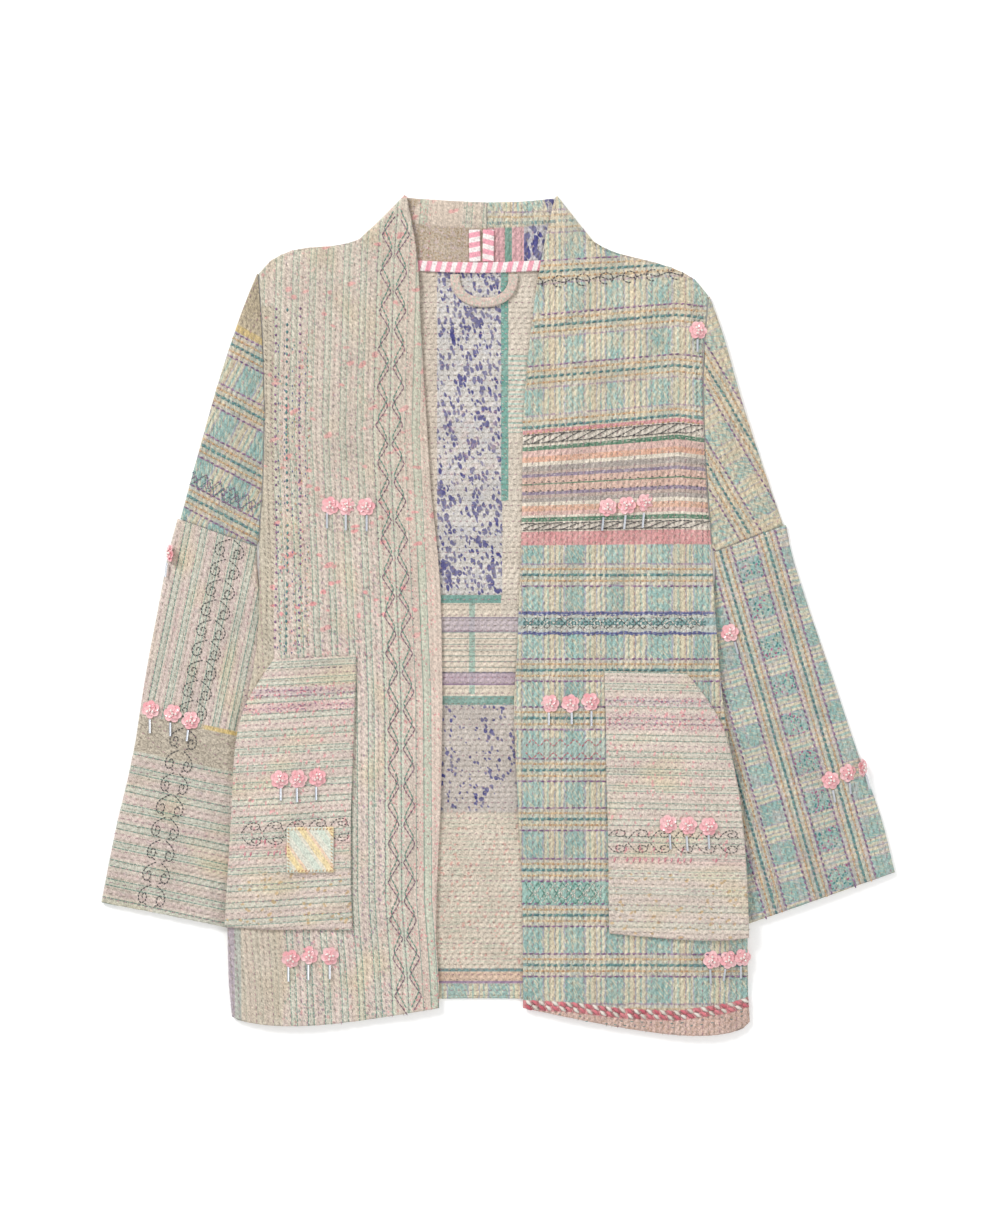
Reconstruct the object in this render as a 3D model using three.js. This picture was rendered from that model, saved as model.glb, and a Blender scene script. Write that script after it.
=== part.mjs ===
// A kantha-quilted patchwork jacket with grown-on collar and patch pockets, laid flat on its back.
// Millimetres. +X is the wearer's left, +Y runs from hem to collar, +Z is up from the surface.
// "Right" and "left" are the wearer's: the right front lies at -X.
import * as THREE from "three";
import { mergeVertices } from "three/addons/utils/BufferGeometryUtils.js";

// Cloth and how the layers lie on each other.
const WALL = 2.0;
const SEAM_GAP = 0.3;
const BACK_LEVEL = WALL / 2;
const FRONT_LEVEL = BACK_LEVEL + WALL + SEAM_GAP;
const QUILT_PITCH = 8;
const QUILT_RIDGE = 0.5;

// Soft heights, all above the level of the flat layer.
const FRONT_LOFT = 1.6;
const FRONT_LOFT_RUN = 26;
const NECK_RISE = 1.8;
const NECK_RISE_RUN = 70;
const HEM_WAVE = 1.3;
const SLEEVE_LOFT = 1.6;
const SLEEVE_FOLD_RADIUS = 1.35;
const SIDE_LIFT = 6.6;
const SIDE_LIFT_FULL = 34;
const SIDE_LIFT_RUN = 50;

// Sections of each front from hem to neck: outer is the side seam, armhole and shoulder,
// edge is the front opening.
// Bow is how far the section sags below a straight line, bowAt where along it.
const FRONT_RIGHT = [
  { outerX: -245.6, outerY: -369.8, edgeX: -55.2, edgeY: -361.6, bow: 11 },
  { outerX: -248.4, outerY: -340.4, edgeX: -55.2, edgeY: -339.5, bow: 9 },
  { outerX: -249.3, outerY: -289.8, edgeX: -58.0, edgeY: -299.0, bow: 5 },
  { outerX: -247.5, outerY: -243.8, edgeX: -57.0, edgeY: -248.4, bow: 3 },
  { outerX: -243.0, outerY: -170.2, edgeX: -53.4, edgeY: -174.8, bow: 1 },
  { outerX: -238.3, outerY: -115.0, edgeX: -52.4, edgeY: -119.6, bow: 0 },
  { outerX: -230.9, outerY: -75.4, edgeX: -52.0, edgeY: -78.2, bow: 0 },
  { outerX: -222.9, outerY: -32.2, edgeX: -52.4, edgeY: -36.8, bow: 0 },
  { outerX: -220.0, outerY: 13.8, edgeX: -53.4, edgeY: 12.0, bow: 0 },
  { outerX: -220.8, outerY: 61.6, edgeX: -56.1, edgeY: 55.2, bow: 0 },
  { outerX: -216.9, outerY: 124.2, edgeX: -62.6, edgeY: 115.0, bow: 0 },
  { outerX: -215.3, outerY: 188.6, edgeX: -66.2, edgeY: 174.8, bow: 0 },
  { outerX: -216.9, outerY: 251.2, edgeX: -69.9, edgeY: 230.0, bow: 0 },
  { outerX: -220.8, outerY: 314.6, edgeX: -72.7, edgeY: 285.2, bow: 0 },
  { outerX: -209.7, outerY: 326.7, edgeX: -73.2, edgeY: 305.4, bow: 0 },
  { outerX: -190.4, outerY: 335.8, edgeX: -74.8, edgeY: 324.8, bow: 0 },
  { outerX: -162.8, outerY: 339.5, edgeX: -78.6, edgeY: 348.8, bow: 1 },
  { outerX: -137.1, outerY: 341.3, edgeX: -86.5, edgeY: 386.4, bow: 3 },
];
const FRONT_LEFT = [
  { outerX: 230.9, outerY: -374.4, edgeX: 22.1, edgeY: -361.6, bow: 16 },
  { outerX: 229.1, outerY: -345.0, edgeX: 22.1, edgeY: -339.5, bow: 13 },
  { outerX: 228.2, outerY: -289.8, edgeX: 22.1, edgeY: -299.0, bow: 6 },
  { outerX: 225.4, outerY: -243.8, edgeX: 21.2, edgeY: -248.4, bow: 3 },
  { outerX: 218.0, outerY: -170.2, edgeX: 17.5, edgeY: -174.8, bow: 1 },
  { outerX: 210.7, outerY: -115.0, edgeX: 14.7, edgeY: -119.6, bow: 0 },
  { outerX: 205.2, outerY: -75.4, edgeX: 13.8, edgeY: -78.2, bow: 0 },
  { outerX: 201.0, outerY: -32.2, edgeX: 16.6, edgeY: -36.8, bow: 0 },
  { outerX: 198.2, outerY: 13.8, edgeX: 18.4, edgeY: 12.0, bow: 0 },
  { outerX: 196.0, outerY: 58.0, edgeX: 20.2, edgeY: 55.2, bow: 0 },
  { outerX: 190.6, outerY: 124.2, edgeX: 21.2, edgeY: 115.0, bow: 0 },
  { outerX: 187.7, outerY: 188.6, edgeX: 22.1, edgeY: 174.8, bow: 0 },
  { outerX: 187.8, outerY: 243.8, edgeX: 25.8, edgeY: 230.0, bow: 0 },
  { outerX: 192.3, outerY: 294.4, edgeX: 32.2, edgeY: 285.6, bow: 0 },
  { outerX: 180.3, outerY: 309.1, edgeX: 35.0, edgeY: 305.2, bow: 0 },
  { outerX: 159.2, outerY: 320.1, edgeX: 38.6, edgeY: 324.8, bow: 0 },
  { outerX: 129.7, outerY: 328.5, edgeX: 44.2, edgeY: 348.8, bow: 1 },
  { outerX: 96.6, outerY: 336.7, edgeX: 53.4, edgeY: 385.5, bow: 3 },
];
const HEM_BOW_AT = { right: 0.36, left: 0.3 };

// The collar behind the neck, from the fold at the side of the neck to the centre back seam.
const COLLAR_RIGHT = [
  { outerX: -104.9, outerY: 330.3, edgeX: -76.4, edgeY: 383.6 },
  { outerX: -72.7, outerY: 325.0, edgeX: -57.8, edgeY: 382.3 },
  { outerX: -40.5, outerY: 322.2, edgeX: -35.9, edgeY: 381.0 },
  { outerX: -11.2, outerY: 321.4, edgeX: -11.2, edgeY: 380.0 },
];
const COLLAR_LEFT = [
  { outerX: 69.9, outerY: 329.4, edgeX: 45.1, edgeY: 383.2 },
  { outerX: 37.7, outerY: 324.6, edgeX: 27.0, edgeY: 381.0 },
  { outerX: 12.0, outerY: 322.2, edgeX: 8.3, edgeY: 380.4 },
  { outerX: -10.8, outerY: 321.4, edgeX: -10.8, edgeY: 380.0 },
];
const COLLAR_TURNING = { width: 23, extra: 1.4, startSection: 0.35 };

// Flattened sleeves: outer fold and inner fold at each section, from the armhole to the cuff.
const ARMHOLE_GAP = 1.0;
const SLEEVE_RIGHT_UPPER = [
  { outerX: -221.9, outerY: 315.0, innerX: -221.8, innerY: 68.6, bow: 0 },
  { outerX: -234.4, outerY: 284.6, innerX: -222.2, innerY: 67.3, bow: 0 },
  { outerX: -255.0, outerY: 224.2, innerX: -222.5, innerY: 66.0, bow: 0 },
  { outerX: -271.6, outerY: 167.4, innerX: -222.8, innerY: 64.7, bow: 0 },
  { outerX: -293.4, outerY: 88.4, innerX: -223.1, innerY: 63.4, bow: 0 },
];
const SLEEVE_RIGHT_LOWER = [
  { outerX: -296.0, outerY: 88.7, innerX: -223.3, innerY: 62.8, bow: 0 },
  { outerX: -304.4, outerY: 57.0, innerX: -221.7, innerY: 32.0, bow: 0 },
  { outerX: -313.4, outerY: 8.8, innerX: -210.4, innerY: -14.0, bow: 0 },
  { outerX: -325.6, outerY: -55.2, innerX: -203.6, innerY: -72.0, bow: 0 },
  { outerX: -337.0, outerY: -128.8, innerX: -208.4, innerY: -142.6, bow: 1 },
  { outerX: -352.6, outerY: -195.2, innerX: -217.0, innerY: -211.0, bow: 1 },
  { outerX: -366.2, outerY: -264.6, innerX: -224.0, innerY: -293.5, bow: 1 },
];
const SLEEVE_LEFT_UPPER = [
  { outerX: 193.4, outerY: 293.8, innerX: 196.8, innerY: 62.9, bow: 0 },
  { outerX: 205.0, outerY: 260.8, innerX: 197.1, innerY: 61.8, bow: 0 },
  { outerX: 223.0, outerY: 197.8, innerX: 197.4, innerY: 60.7, bow: 0 },
  { outerX: 238.5, outerY: 149.8, innerX: 197.7, innerY: 59.6, bow: 0 },
  { outerX: 261.8, outerY: 82.8, innerX: 198.0, innerY: 58.5, bow: 0 },
];
const SLEEVE_LEFT_LOWER = [
  { outerX: 264.4, outerY: 83.2, innerX: 198.2, innerY: 57.9, bow: 0 },
  { outerX: 269.0, outerY: 59.0, innerX: 198.8, innerY: 29.0, bow: 0 },
  { outerX: 284.4, outerY: 8.8, innerX: 188.4, innerY: -16.0, bow: 0 },
  { outerX: 306.4, outerY: -55.2, innerX: 179.4, innerY: -74.0, bow: 0 },
  { outerX: 328.4, outerY: -121.2, innerX: 182.3, innerY: -141.0, bow: 0 },
  { outerX: 351.8, outerY: -186.2, innerX: 192.6, innerY: -213.6, bow: 1 },
  { outerX: 364.6, outerY: -236.9, innerX: 203.0, innerY: -293.6, bow: 0 },
];

// The back: hem, then the shoulders and neck along its top edge.
const BACK_HEM = [
  { x: -243.6, y: -366.8 },
  { x: -150.0, y: -357.0 },
  { x: -54.0, y: -353.5 },
  { x: 22.0, y: -353.5 },
  { x: 130.0, y: -359.0 },
  { x: 229.0, y: -371.0 },
];
const BACK_TOP = [
  { x: -220.8, y: 314.6 },
  { x: -209.7, y: 326.7 },
  { x: -190.4, y: 335.8 },
  { x: -162.8, y: 339.5 },
  { x: -138.6, y: 338.8 },
  { x: -104.9, y: 329.1 },
  { x: -72.7, y: 323.8 },
  { x: -40.5, y: 321.0 },
  { x: -11.0, y: 320.3 },
  { x: 12.0, y: 321.0 },
  { x: 37.7, y: 323.4 },
  { x: 69.9, y: 328.2 },
  { x: 98.0, y: 334.8 },
  { x: 129.7, y: 328.5 },
  { x: 159.2, y: 320.1 },
  { x: 180.3, y: 309.1 },
  { x: 192.3, y: 294.4 },
];

// Patch pockets, from bottom to top: outer is the side seam and the slanted opening,
// inner is the vertical edge.
const POCKET_WALL = 1.8;
const POCKET_RIGHT = [
  { outerX: -251.6, outerY: -286.0, innerX: -135.2, innerY: -289.8, bow: 1 },
  { outerX: -249.8, outerY: -253.0, innerX: -135.7, innerY: -253.0, bow: 1 },
  { outerX: -245.7, outerY: -186.8, innerX: -136.2, innerY: -186.8, bow: 0 },
  { outerX: -241.0, outerY: -113.6, innerX: -133.4, innerY: -113.6, bow: 0 },
  { outerX: -232.8, outerY: -83.7, innerX: -132.5, innerY: -82.7, bow: 0 },
  { outerX: -219.9, outerY: -60.6, innerX: -131.6, innerY: -58.8, bow: 0 },
  { outerX: -206.6, outerY: -40.5, innerX: -131.6, innerY: -36.8, bow: 0 },
];
const POCKET_LEFT = [
  { outerX: 229.4, outerY: -296.2, innerX: 101.2, innerY: -292.6, bow: 4 },
  { outerX: 228.0, outerY: -249.8, innerX: 100.7, innerY: -247.8, bow: 3 },
  { outerX: 224.8, outerY: -204.0, innerX: 100.3, innerY: -202.5, bow: 1 },
  { outerX: 219.0, outerY: -156.4, innerX: 98.9, innerY: -153.8, bow: 0 },
  { outerX: 205.3, outerY: -102.4, innerX: 98.4, innerY: -101.4, bow: 0 },
  { outerX: 186.9, outerY: -71.8, innerX: 97.5, innerY: -71.0, bow: 0 },
  { outerX: 172.0, outerY: -53.4, innerX: 97.1, innerY: -51.5, bow: 0 },
];
const MEND = { left: -194.6, right: -151.8, bottom: -236.4, top: -194.6, wall: 1.0 };

// Bindings over the neck seam and the centre back seam, and the hanging loop.
const BINDING_WALL = 1.2;
const NECK_BINDING = { fromX: -78, toX: 39, width: 9.6, sag: 2.0, endY: 324.2 };
const CENTRE_BINDINGS = [
  { name: "centre_binding_right", x: -22.1, topY: 354.8, topX: -22.6 },
  { name: "centre_binding_left", x: -9.9, topY: 354.8, topX: -9.6 },
];
const CENTRE_BINDING_WIDTH = 10.4;
const LOOP = { centreX: -13.5, topY: 313.6, halfWidth: 31.5, drop: 30.5, band: 9, thick: 2.4, steps: 18 };

const smooth = (low, high, value) => THREE.MathUtils.smoothstep(value, low, high);
const clamp01 = (value) => THREE.MathUtils.clamp(value, 0, 1);

// A smooth line through the points that a table gives under two column names.
function lineThrough(rows, xName, yName) {
  const points = rows.map((row) => new THREE.Vector3(row[xName], row[yName], 0));
  const curve = new THREE.CatmullRomCurve3(points, false, "centripetal");
  return (t) => curve.getPoint(clamp01(t));
}

// The value at y on a table that runs up or down in y.
function atHeight(rows, xName, yName, y) {
  const sorted = [...rows].sort((a, b) => a[yName] - b[yName]);
  if (y <= sorted[0][yName]) return sorted[0][xName];
  for (let i = 1; i < sorted.length; i++) {
    const low = sorted[i - 1];
    const high = sorted[i];
    if (y <= high[yName]) {
      const share = (y - low[yName]) / (high[yName] - low[yName]);
      return THREE.MathUtils.lerp(low[xName], high[xName], share);
    }
  }
  return sorted[sorted.length - 1][xName];
}

// Body sides below the underarm, used to find how far a point is from the side seam.
const BODY_SIDE_ROWS = 10;
const sideOf = (x) => (x < 0 ? FRONT_RIGHT : FRONT_LEFT).slice(0, BODY_SIDE_ROWS);
const UNDERARM_Y = 60;
const CUFF_REST_Y = -292;

// How high the body is carried by the sleeve that is tucked under its side.
function sideLift(x, y) {
  const seamX = atHeight(sideOf(x), "outerX", "outerY", y);
  const inside = Math.abs(seamX) - Math.abs(x);
  const across = 1 - smooth(SIDE_LIFT_FULL, SIDE_LIFT_FULL + SIDE_LIFT_RUN, inside);
  const below = smooth(-4, 62, UNDERARM_Y - y);
  const above = smooth(-44, -4, y - CUFF_REST_Y);
  return SIDE_LIFT * across * below * above;
}

// The front's rise over the thick collar seam behind the neck.
function neckRise(x, y) {
  const centreX = -18;
  const centreY = 352;
  const away = Math.hypot((x - centreX) * 0.75, y - centreY);
  return NECK_RISE * (1 - smooth(NECK_RISE_RUN, NECK_RISE_RUN + 40, away));
}

const backHeight = (x, y) => BACK_LEVEL + sideLift(x, y);

// Height of the middle of a front's wall. s is the share of the width from the side to the opening.
function frontHeight(x, y, s, width) {
  const fromSide = s * width;
  const fromEdge = (1 - s) * width;
  const edgeLoft = 0.45 + 0.55 * smooth(0, FRONT_LOFT_RUN, fromEdge);
  const loft = FRONT_LOFT * smooth(0, FRONT_LOFT_RUN, fromSide) * edgeLoft;
  const nearHem = 1 - smooth(-360, -260, y);
  const wave = HEM_WAVE * nearHem * (0.5 - 0.5 * Math.cos((x / 62) * Math.PI)) * smooth(0, 20, fromSide);
  return FRONT_LEVEL + loft + wave + sideLift(x, y) + neckRise(x, y);
}

// A closed wall of cloth from a grid of points in the middle of the cloth, grid[section][station].
// The outer face has every point, the plain inner face only the sections and stations that are kept.
function wall(grid, { around = false, keptSections, keptStations, outer, inner, flip = false }) {
  const sections = grid.length;
  const stations = grid[0].length;
  const step = (i, j, di, dj) => {
    const ii = THREE.MathUtils.clamp(i + di, 0, sections - 1);
    const jj = around ? (j + dj + stations) % stations : THREE.MathUtils.clamp(j + dj, 0, stations - 1);
    return grid[ii][jj];
  };
  const normal = (i, j) => {
    const across = step(i, j, 0, 1).clone().sub(step(i, j, 0, -1));
    const along = step(i, j, 1, 0).clone().sub(step(i, j, -1, 0));
    const n = across.cross(along).normalize();
    return flip ? n.negate() : n;
  };
  const positions = [];
  const index = [];
  const vertex = (point) => positions.push(point.x, point.y, point.z) / 3 - 1;
  const face = (a, b, c) => (flip ? index.push(a, c, b) : index.push(a, b, c));

  const outerIds = grid.map((row, i) =>
    row.map((point, j) => vertex(point.clone().addScaledVector(normal(i, j), outer(i, j)))),
  );
  const innerIds = keptSections.map((i) =>
    keptStations.map((j) => vertex(grid[i][j].clone().addScaledVector(normal(i, j), -inner(i, j)))),
  );
  const lastStation = around ? stations : stations - 1;
  for (let i = 0; i < sections - 1; i++) {
    for (let j = 0; j < lastStation; j++) {
      const k = (j + 1) % stations;
      face(outerIds[i][j], outerIds[i][k], outerIds[i + 1][k]);
      face(outerIds[i][j], outerIds[i + 1][k], outerIds[i + 1][j]);
    }
  }
  const keptWide = keptStations.length;
  const lastKept = around ? keptWide : keptWide - 1;
  for (let i = 0; i < keptSections.length - 1; i++) {
    for (let j = 0; j < lastKept; j++) {
      const k = (j + 1) % keptWide;
      face(innerIds[i][j], innerIds[i + 1][k], innerIds[i][k]);
      face(innerIds[i][j], innerIds[i + 1][j], innerIds[i + 1][k]);
    }
  }
  // Joins a fine outer line to a coarse inner line along one rim.
  const rim = (fine, coarse, kept, turned) => {
    const add = (a, b, c) => (turned ? face(a, c, b) : face(a, b, c));
    for (let k = 0; k < coarse.length - 1; k++) {
      const from = kept[k];
      const to = kept[k + 1];
      const middle = Math.floor((from + to) / 2);
      for (let f = from; f < middle; f++) add(fine[f], coarse[k], fine[f + 1]);
      add(fine[middle], coarse[k], coarse[k + 1]);
      for (let f = middle; f < to; f++) add(fine[f], coarse[k + 1], fine[f + 1]);
    }
  };
  const closed = (line) => (around ? [...line, line[0]] : line);
  const keptRound = around ? [...keptStations, stations] : keptStations;
  const top = keptSections.length - 1;
  rim(closed(outerIds[0]), closed(innerIds[0]), keptRound, false);
  rim(closed(outerIds[sections - 1]), closed(innerIds[top]), keptRound, true);
  if (!around) {
    rim(outerIds.map((row) => row[0]), innerIds.map((row) => row[0]), keptSections, true);
    const lastOuter = outerIds.map((row) => row[stations - 1]);
    const lastInner = innerIds.map((row) => row[keptWide - 1]);
    rim(lastOuter, lastInner, keptSections, false);
  }
  const geometry = new THREE.BufferGeometry();
  geometry.setAttribute("position", new THREE.Float32BufferAttribute(positions, 3));
  geometry.setIndex(index);
  return geometry;
}

// Every nth number from 0 to last, with last itself.
function everyNth(last, n) {
  const kept = [];
  for (let i = 0; i < last; i += n) kept.push(i);
  if (last - kept[kept.length - 1] < n / 2 && kept.length > 1) kept.pop();
  kept.push(last);
  return kept;
}

// Where the panels have sections, in rows of their side table: closer where the body climbs onto the sleeve.
const BODY_ROWS = [0, 1, 2, 3, 4, 5, 6, 6.5, 7, 7.5, 8, 8.5, 9, 9.5, 10, 11, 12, 13];
const SHOULDER_ROWS = [14, 15, 16, 17];

// The height of a grid at a place, read between its sections as straight lines.
function heightOn(grid, x, y) {
  const onRow = (row) => {
    const forward = row[0].x < row[row.length - 1].x;
    const points = forward ? row : [...row].reverse();
    let j = points.findIndex((point) => point.x > x);
    if (j < 0) j = points.length - 1;
    j = Math.max(1, j);
    const share = (x - points[j - 1].x) / (points[j].x - points[j - 1].x);
    return points[j - 1].clone().lerp(points[j], share);
  };
  const places = grid.map(onRow);
  let i = places.findIndex((place) => place.y > y);
  if (i < 0) i = places.length - 1;
  i = Math.max(1, i);
  const share = (y - places[i - 1].y) / (places[i].y - places[i - 1].y);
  return THREE.MathUtils.lerp(places[i - 1].z, places[i].z, share);
}

const bowed = (s, at) => Math.sin(Math.PI * Math.pow(s, Math.log(0.5) / Math.log(at)));

// A point on a section that hangs below the straight line between its two ends.
function onSection(from, to, s, bow, at = 0.5) {
  const point = from.clone().lerp(to, s);
  const along = to.clone().sub(from).normalize();
  const down = new THREE.Vector3(along.y, -along.x, 0);
  if (down.y > 0) down.negate();
  return point.addScaledVector(down, bow * bowed(s, at));
}

// The front, cut in one with its half of the collar: up to the neck, round the fold and behind the neck.
const FRONT_STATIONS = 36;
const FOLD_ANGLES = [0.2, 0.4, 0.6, 0.8];
const COLLAR_SECTIONS = 5;
const FOLD_BOW = 3;
function frontGrid(rows, side) {
  const mirrored = side === "left";
  const outerLine = lineThrough(rows, "outerX", "outerY");
  const edgeLine = lineThrough(rows, "edgeX", "edgeY");
  const bowLine = lineThrough(rows.map((row, i) => ({ i, bow: row.bow })), "i", "bow");
  const grid = [];
  const share = (j) => j / FRONT_STATIONS;

  const foldOuter = outerLine(1);
  const foldEdge = edgeLine(1);
  const foldDirection = foldEdge.clone().sub(foldOuter).normalize();
  const outward = new THREE.Vector3(foldDirection.y, -foldDirection.x, 0).multiplyScalar(mirrored ? 1 : -1);
  const foldHigh = frontHeight(foldOuter.x, foldOuter.y, 0, 70);
  const foldRadius = (foldHigh - BACK_LEVEL) / 2;
  const inset = outward.clone().multiplyScalar(-(foldRadius + WALL / 2));

  for (const row of [...BODY_ROWS, ...SHOULDER_ROWS]) {
    const t = row / (rows.length - 1);
    const towardsFold = inset.clone().multiplyScalar(smooth(0.86, 1, t));
    const outer = outerLine(t).add(towardsFold);
    const edge = edgeLine(t).add(towardsFold);
    const width = outer.distanceTo(edge);
    grid.push(
      Array.from({ length: FRONT_STATIONS + 1 }, (_, j) => {
        const point = onSection(outer, edge, share(j), bowLine(t).y, HEM_BOW_AT[side]);
        point.z = frontHeight(point.x, point.y, share(j), width);
        return point;
      }),
    );
  }
  return { grid, outward };
}

function frontPanel(front, collarRows, side) {
  const mirrored = side === "left";
  const grid = [...front.grid];
  const bodySections = grid.length;
  const share = (j) => j / FRONT_STATIONS;
  const lastRow = grid[grid.length - 1];
  for (const turn of FOLD_ANGLES) {
    const angle = turn * Math.PI;
    grid.push(
      lastRow.map((point) => {
        const radius = (point.z - BACK_LEVEL) / 2;
        const turned = point.clone().addScaledVector(front.outward, radius * Math.sin(angle));
        turned.z = BACK_LEVEL + radius * (1 + Math.cos(angle));
        return turned;
      }),
    );
  }
  const neckEnd = lastRow[0];
  const freeEnd = lastRow[FRONT_STATIONS];
  const start = { outerX: neckEnd.x, outerY: neckEnd.y, edgeX: freeEnd.x, edgeY: freeEnd.y };
  const collarOuter = lineThrough([start, ...collarRows], "outerX", "outerY");
  const collarEdge = lineThrough([start, ...collarRows], "edgeX", "edgeY");
  for (let i = 0; i <= COLLAR_SECTIONS; i++) {
    const t = i / COLLAR_SECTIONS;
    const bow = FOLD_BOW * (1 - smooth(0, 0.5, t));
    grid.push(
      Array.from({ length: FRONT_STATIONS + 1 }, (_, j) => {
        const point = onSection(collarOuter(t), collarEdge(t), share(j), bow, HEM_BOW_AT[side]);
        point.z = BACK_LEVEL;
        return point;
      }),
    );
  }

  const collarStart = grid.length - COLLAR_SECTIONS - 1;
  const pitchAt = (i) => grid[i][0].distanceTo(grid[i][FRONT_STATIONS]) / FRONT_STATIONS;
  const ridge = (i, j) => {
    const onBack = i >= bodySections - 1;
    if (onBack || j % 2 === 0 || j === 0 || j === FRONT_STATIONS) return 0;
    return QUILT_RIDGE * clamp01((2 * pitchAt(i)) / QUILT_PITCH);
  };
  // The collar's free edge is turned in once behind the neck, which doubles the cloth there.
  const turning = (i, j) => {
    const t = (i - collarStart) / COLLAR_SECTIONS;
    if (t < COLLAR_TURNING.startSection) return 0;
    const fromEdge = (1 - share(j)) * grid[i][0].distanceTo(grid[i][FRONT_STATIONS]);
    return fromEdge <= COLLAR_TURNING.width ? COLLAR_TURNING.extra : 0;
  };
  const sectionsKept = Array.from({ length: grid.length }, (_, i) => i);
  return wall(grid, {
    keptSections: sectionsKept,
    keptStations: everyNth(FRONT_STATIONS, 4),
    outer: (i, j) => WALL / 2 + ridge(i, j),
    inner: (i, j) => WALL / 2 + turning(i, j),
    flip: mirrored,
  });
}

// The back, one panel between the two sides, its hem and the shoulders and neck.
const BACK_STATIONS = 28;
const BACK_SIDE_ROWS = 14;
const SIDE_CROWDING = 0.55;
function backPanel() {
  const hem = lineThrough(BACK_HEM, "x", "y");
  const top = lineThrough(BACK_TOP, "x", "y");
  const sideLine = (hemEnd, rows) => {
    const start = { outerX: hemEnd.x, outerY: hemEnd.y };
    return lineThrough([start, ...rows.slice(1, BACK_SIDE_ROWS)], "outerX", "outerY");
  };
  const right = sideLine(BACK_HEM[0], FRONT_RIGHT);
  const left = sideLine(BACK_HEM[BACK_HEM.length - 1], FRONT_LEFT);
  const corner = (s, t) =>
    hem(0).multiplyScalar((1 - s) * (1 - t))
      .add(hem(1).multiplyScalar(s * (1 - t)))
      .add(top(0).multiplyScalar((1 - s) * t))
      .add(top(1).multiplyScalar(s * t));
  const patch = (s, t) =>
    hem(s).multiplyScalar(1 - t)
      .add(top(s).multiplyScalar(t))
      .add(right(t).multiplyScalar(1 - s))
      .add(left(t).multiplyScalar(s))
      .sub(corner(s, t));
  const grid = BODY_ROWS.map((row) =>
    Array.from({ length: BACK_STATIONS + 1 }, (_, j) => {
      const even = j / BACK_STATIONS;
      const s = THREE.MathUtils.lerp(even, 0.5 - 0.5 * Math.cos(Math.PI * even), SIDE_CROWDING);
      const point = patch(s, row / (BACK_SIDE_ROWS - 1));
      point.z = backHeight(point.x, point.y);
      return point;
    }),
  );
  return wall(grid, {
    keptSections: everyNth(BODY_ROWS.length - 1, 1),
    keptStations: everyNth(BACK_STATIONS, 1),
    outer: () => WALL / 2,
    inner: () => WALL / 2,
  });
}

// A flattened sleeve tube with a fold along each side, open at both ends.
const SLEEVE_TOP_STATIONS = 22;
const SLEEVE_UNDER_STATIONS = 4;
const SLEEVE_FOLD_STATIONS = 3;
const ARMHOLE_ROWS = [9, 14];
function sleeve(rows, { sections, loftFrom, acrossRidges = false, armhole, flip }) {
  const outerLine = lineThrough(rows, "outerX", "outerY");
  const innerLine = lineThrough(rows, "innerX", "innerY");
  const bowLine = lineThrough(rows.map((row, i) => ({ i, bow: row.bow })), "i", "bow");
  const reach = SLEEVE_FOLD_RADIUS + WALL / 2;
  const middleLevel = BACK_LEVEL + SLEEVE_FOLD_RADIUS;
  const topStations = acrossRidges ? 6 : SLEEVE_TOP_STATIONS;
  // How far the body's armhole runs inside the straight line between its two ends.
  const armholeDip = (s) => {
    if (!armhole) return 0;
    const y = THREE.MathUtils.lerp(rows[0].outerY, rows[0].innerY, s);
    const straight = Math.abs(THREE.MathUtils.lerp(rows[0].outerX, rows[0].innerX, s));
    return straight - Math.abs(atHeight(armhole.slice(...ARMHOLE_ROWS), "outerX", "outerY", y)) - ARMHOLE_GAP;
  };
  const grid = [];
  for (let i = 0; i <= sections; i++) {
    const t = i / sections;
    const outer = outerLine(t);
    const inner = innerLine(t);
    const along = inner.clone().sub(outer).normalize();
    const width = outer.distanceTo(inner);
    const from = outer.clone().addScaledVector(along, reach);
    const to = inner.clone().addScaledVector(along, -reach);
    const loft = SLEEVE_LOFT * THREE.MathUtils.lerp(loftFrom, 1, smooth(0, 0.3, t)) * clamp01(width / 90);
    const side = new THREE.Vector3(along.y, -along.x, 0);
    if (side.x * Math.sign(outer.x) > 0) side.negate();
    const place = (s, z) => {
      const point = from.clone().lerp(to, s).addScaledVector(side, bowLine(t).y * Math.sin(Math.PI * s));
      point.x -= Math.sign(outer.x) * armholeDip(s) * (1 - smooth(0, 0.4, t));
      point.z = z;
      return point;
    };
    const ring = [];
    for (let j = 0; j <= topStations; j++) {
      const s = j / topStations;
      ring.push(place(s, middleLevel + SLEEVE_FOLD_RADIUS + loft * Math.sin(Math.PI * s)));
    }
    const fold = (end, sign) => {
      for (let j = 1; j <= SLEEVE_FOLD_STATIONS; j++) {
        const angle = (j / (SLEEVE_FOLD_STATIONS + 1)) * Math.PI;
        const point = end.clone().addScaledVector(along, sign * SLEEVE_FOLD_RADIUS * Math.sin(angle));
        point.z = middleLevel + sign * SLEEVE_FOLD_RADIUS * Math.cos(angle);
        ring.push(point);
      }
    };
    fold(place(1, 0), 1);
    for (let j = 0; j <= SLEEVE_UNDER_STATIONS; j++) {
      ring.push(place(1 - j / SLEEVE_UNDER_STATIONS, BACK_LEVEL));
    }
    fold(place(0, 0), -1);
    grid.push(ring);
  }
  const ridge = (i, j) => {
    const onTop = j > 0 && j < topStations;
    const raised = acrossRidges ? i % 2 === 1 : j % 2 === 1;
    return onTop && raised && i < sections ? QUILT_RIDGE : 0;
  };
  const keptStations = [];
  for (let j = 0; j < grid[0].length; j++) {
    if (j >= topStations || acrossRidges || j % 3 === 0) keptStations.push(j);
  }
  return wall(grid, {
    around: true,
    keptSections: everyNth(sections, acrossRidges ? 5 : 1),
    keptStations,
    outer: (i, j) => WALL / 2 + ridge(i, j),
    inner: () => WALL / 2,
    flip,
  });
}

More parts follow.
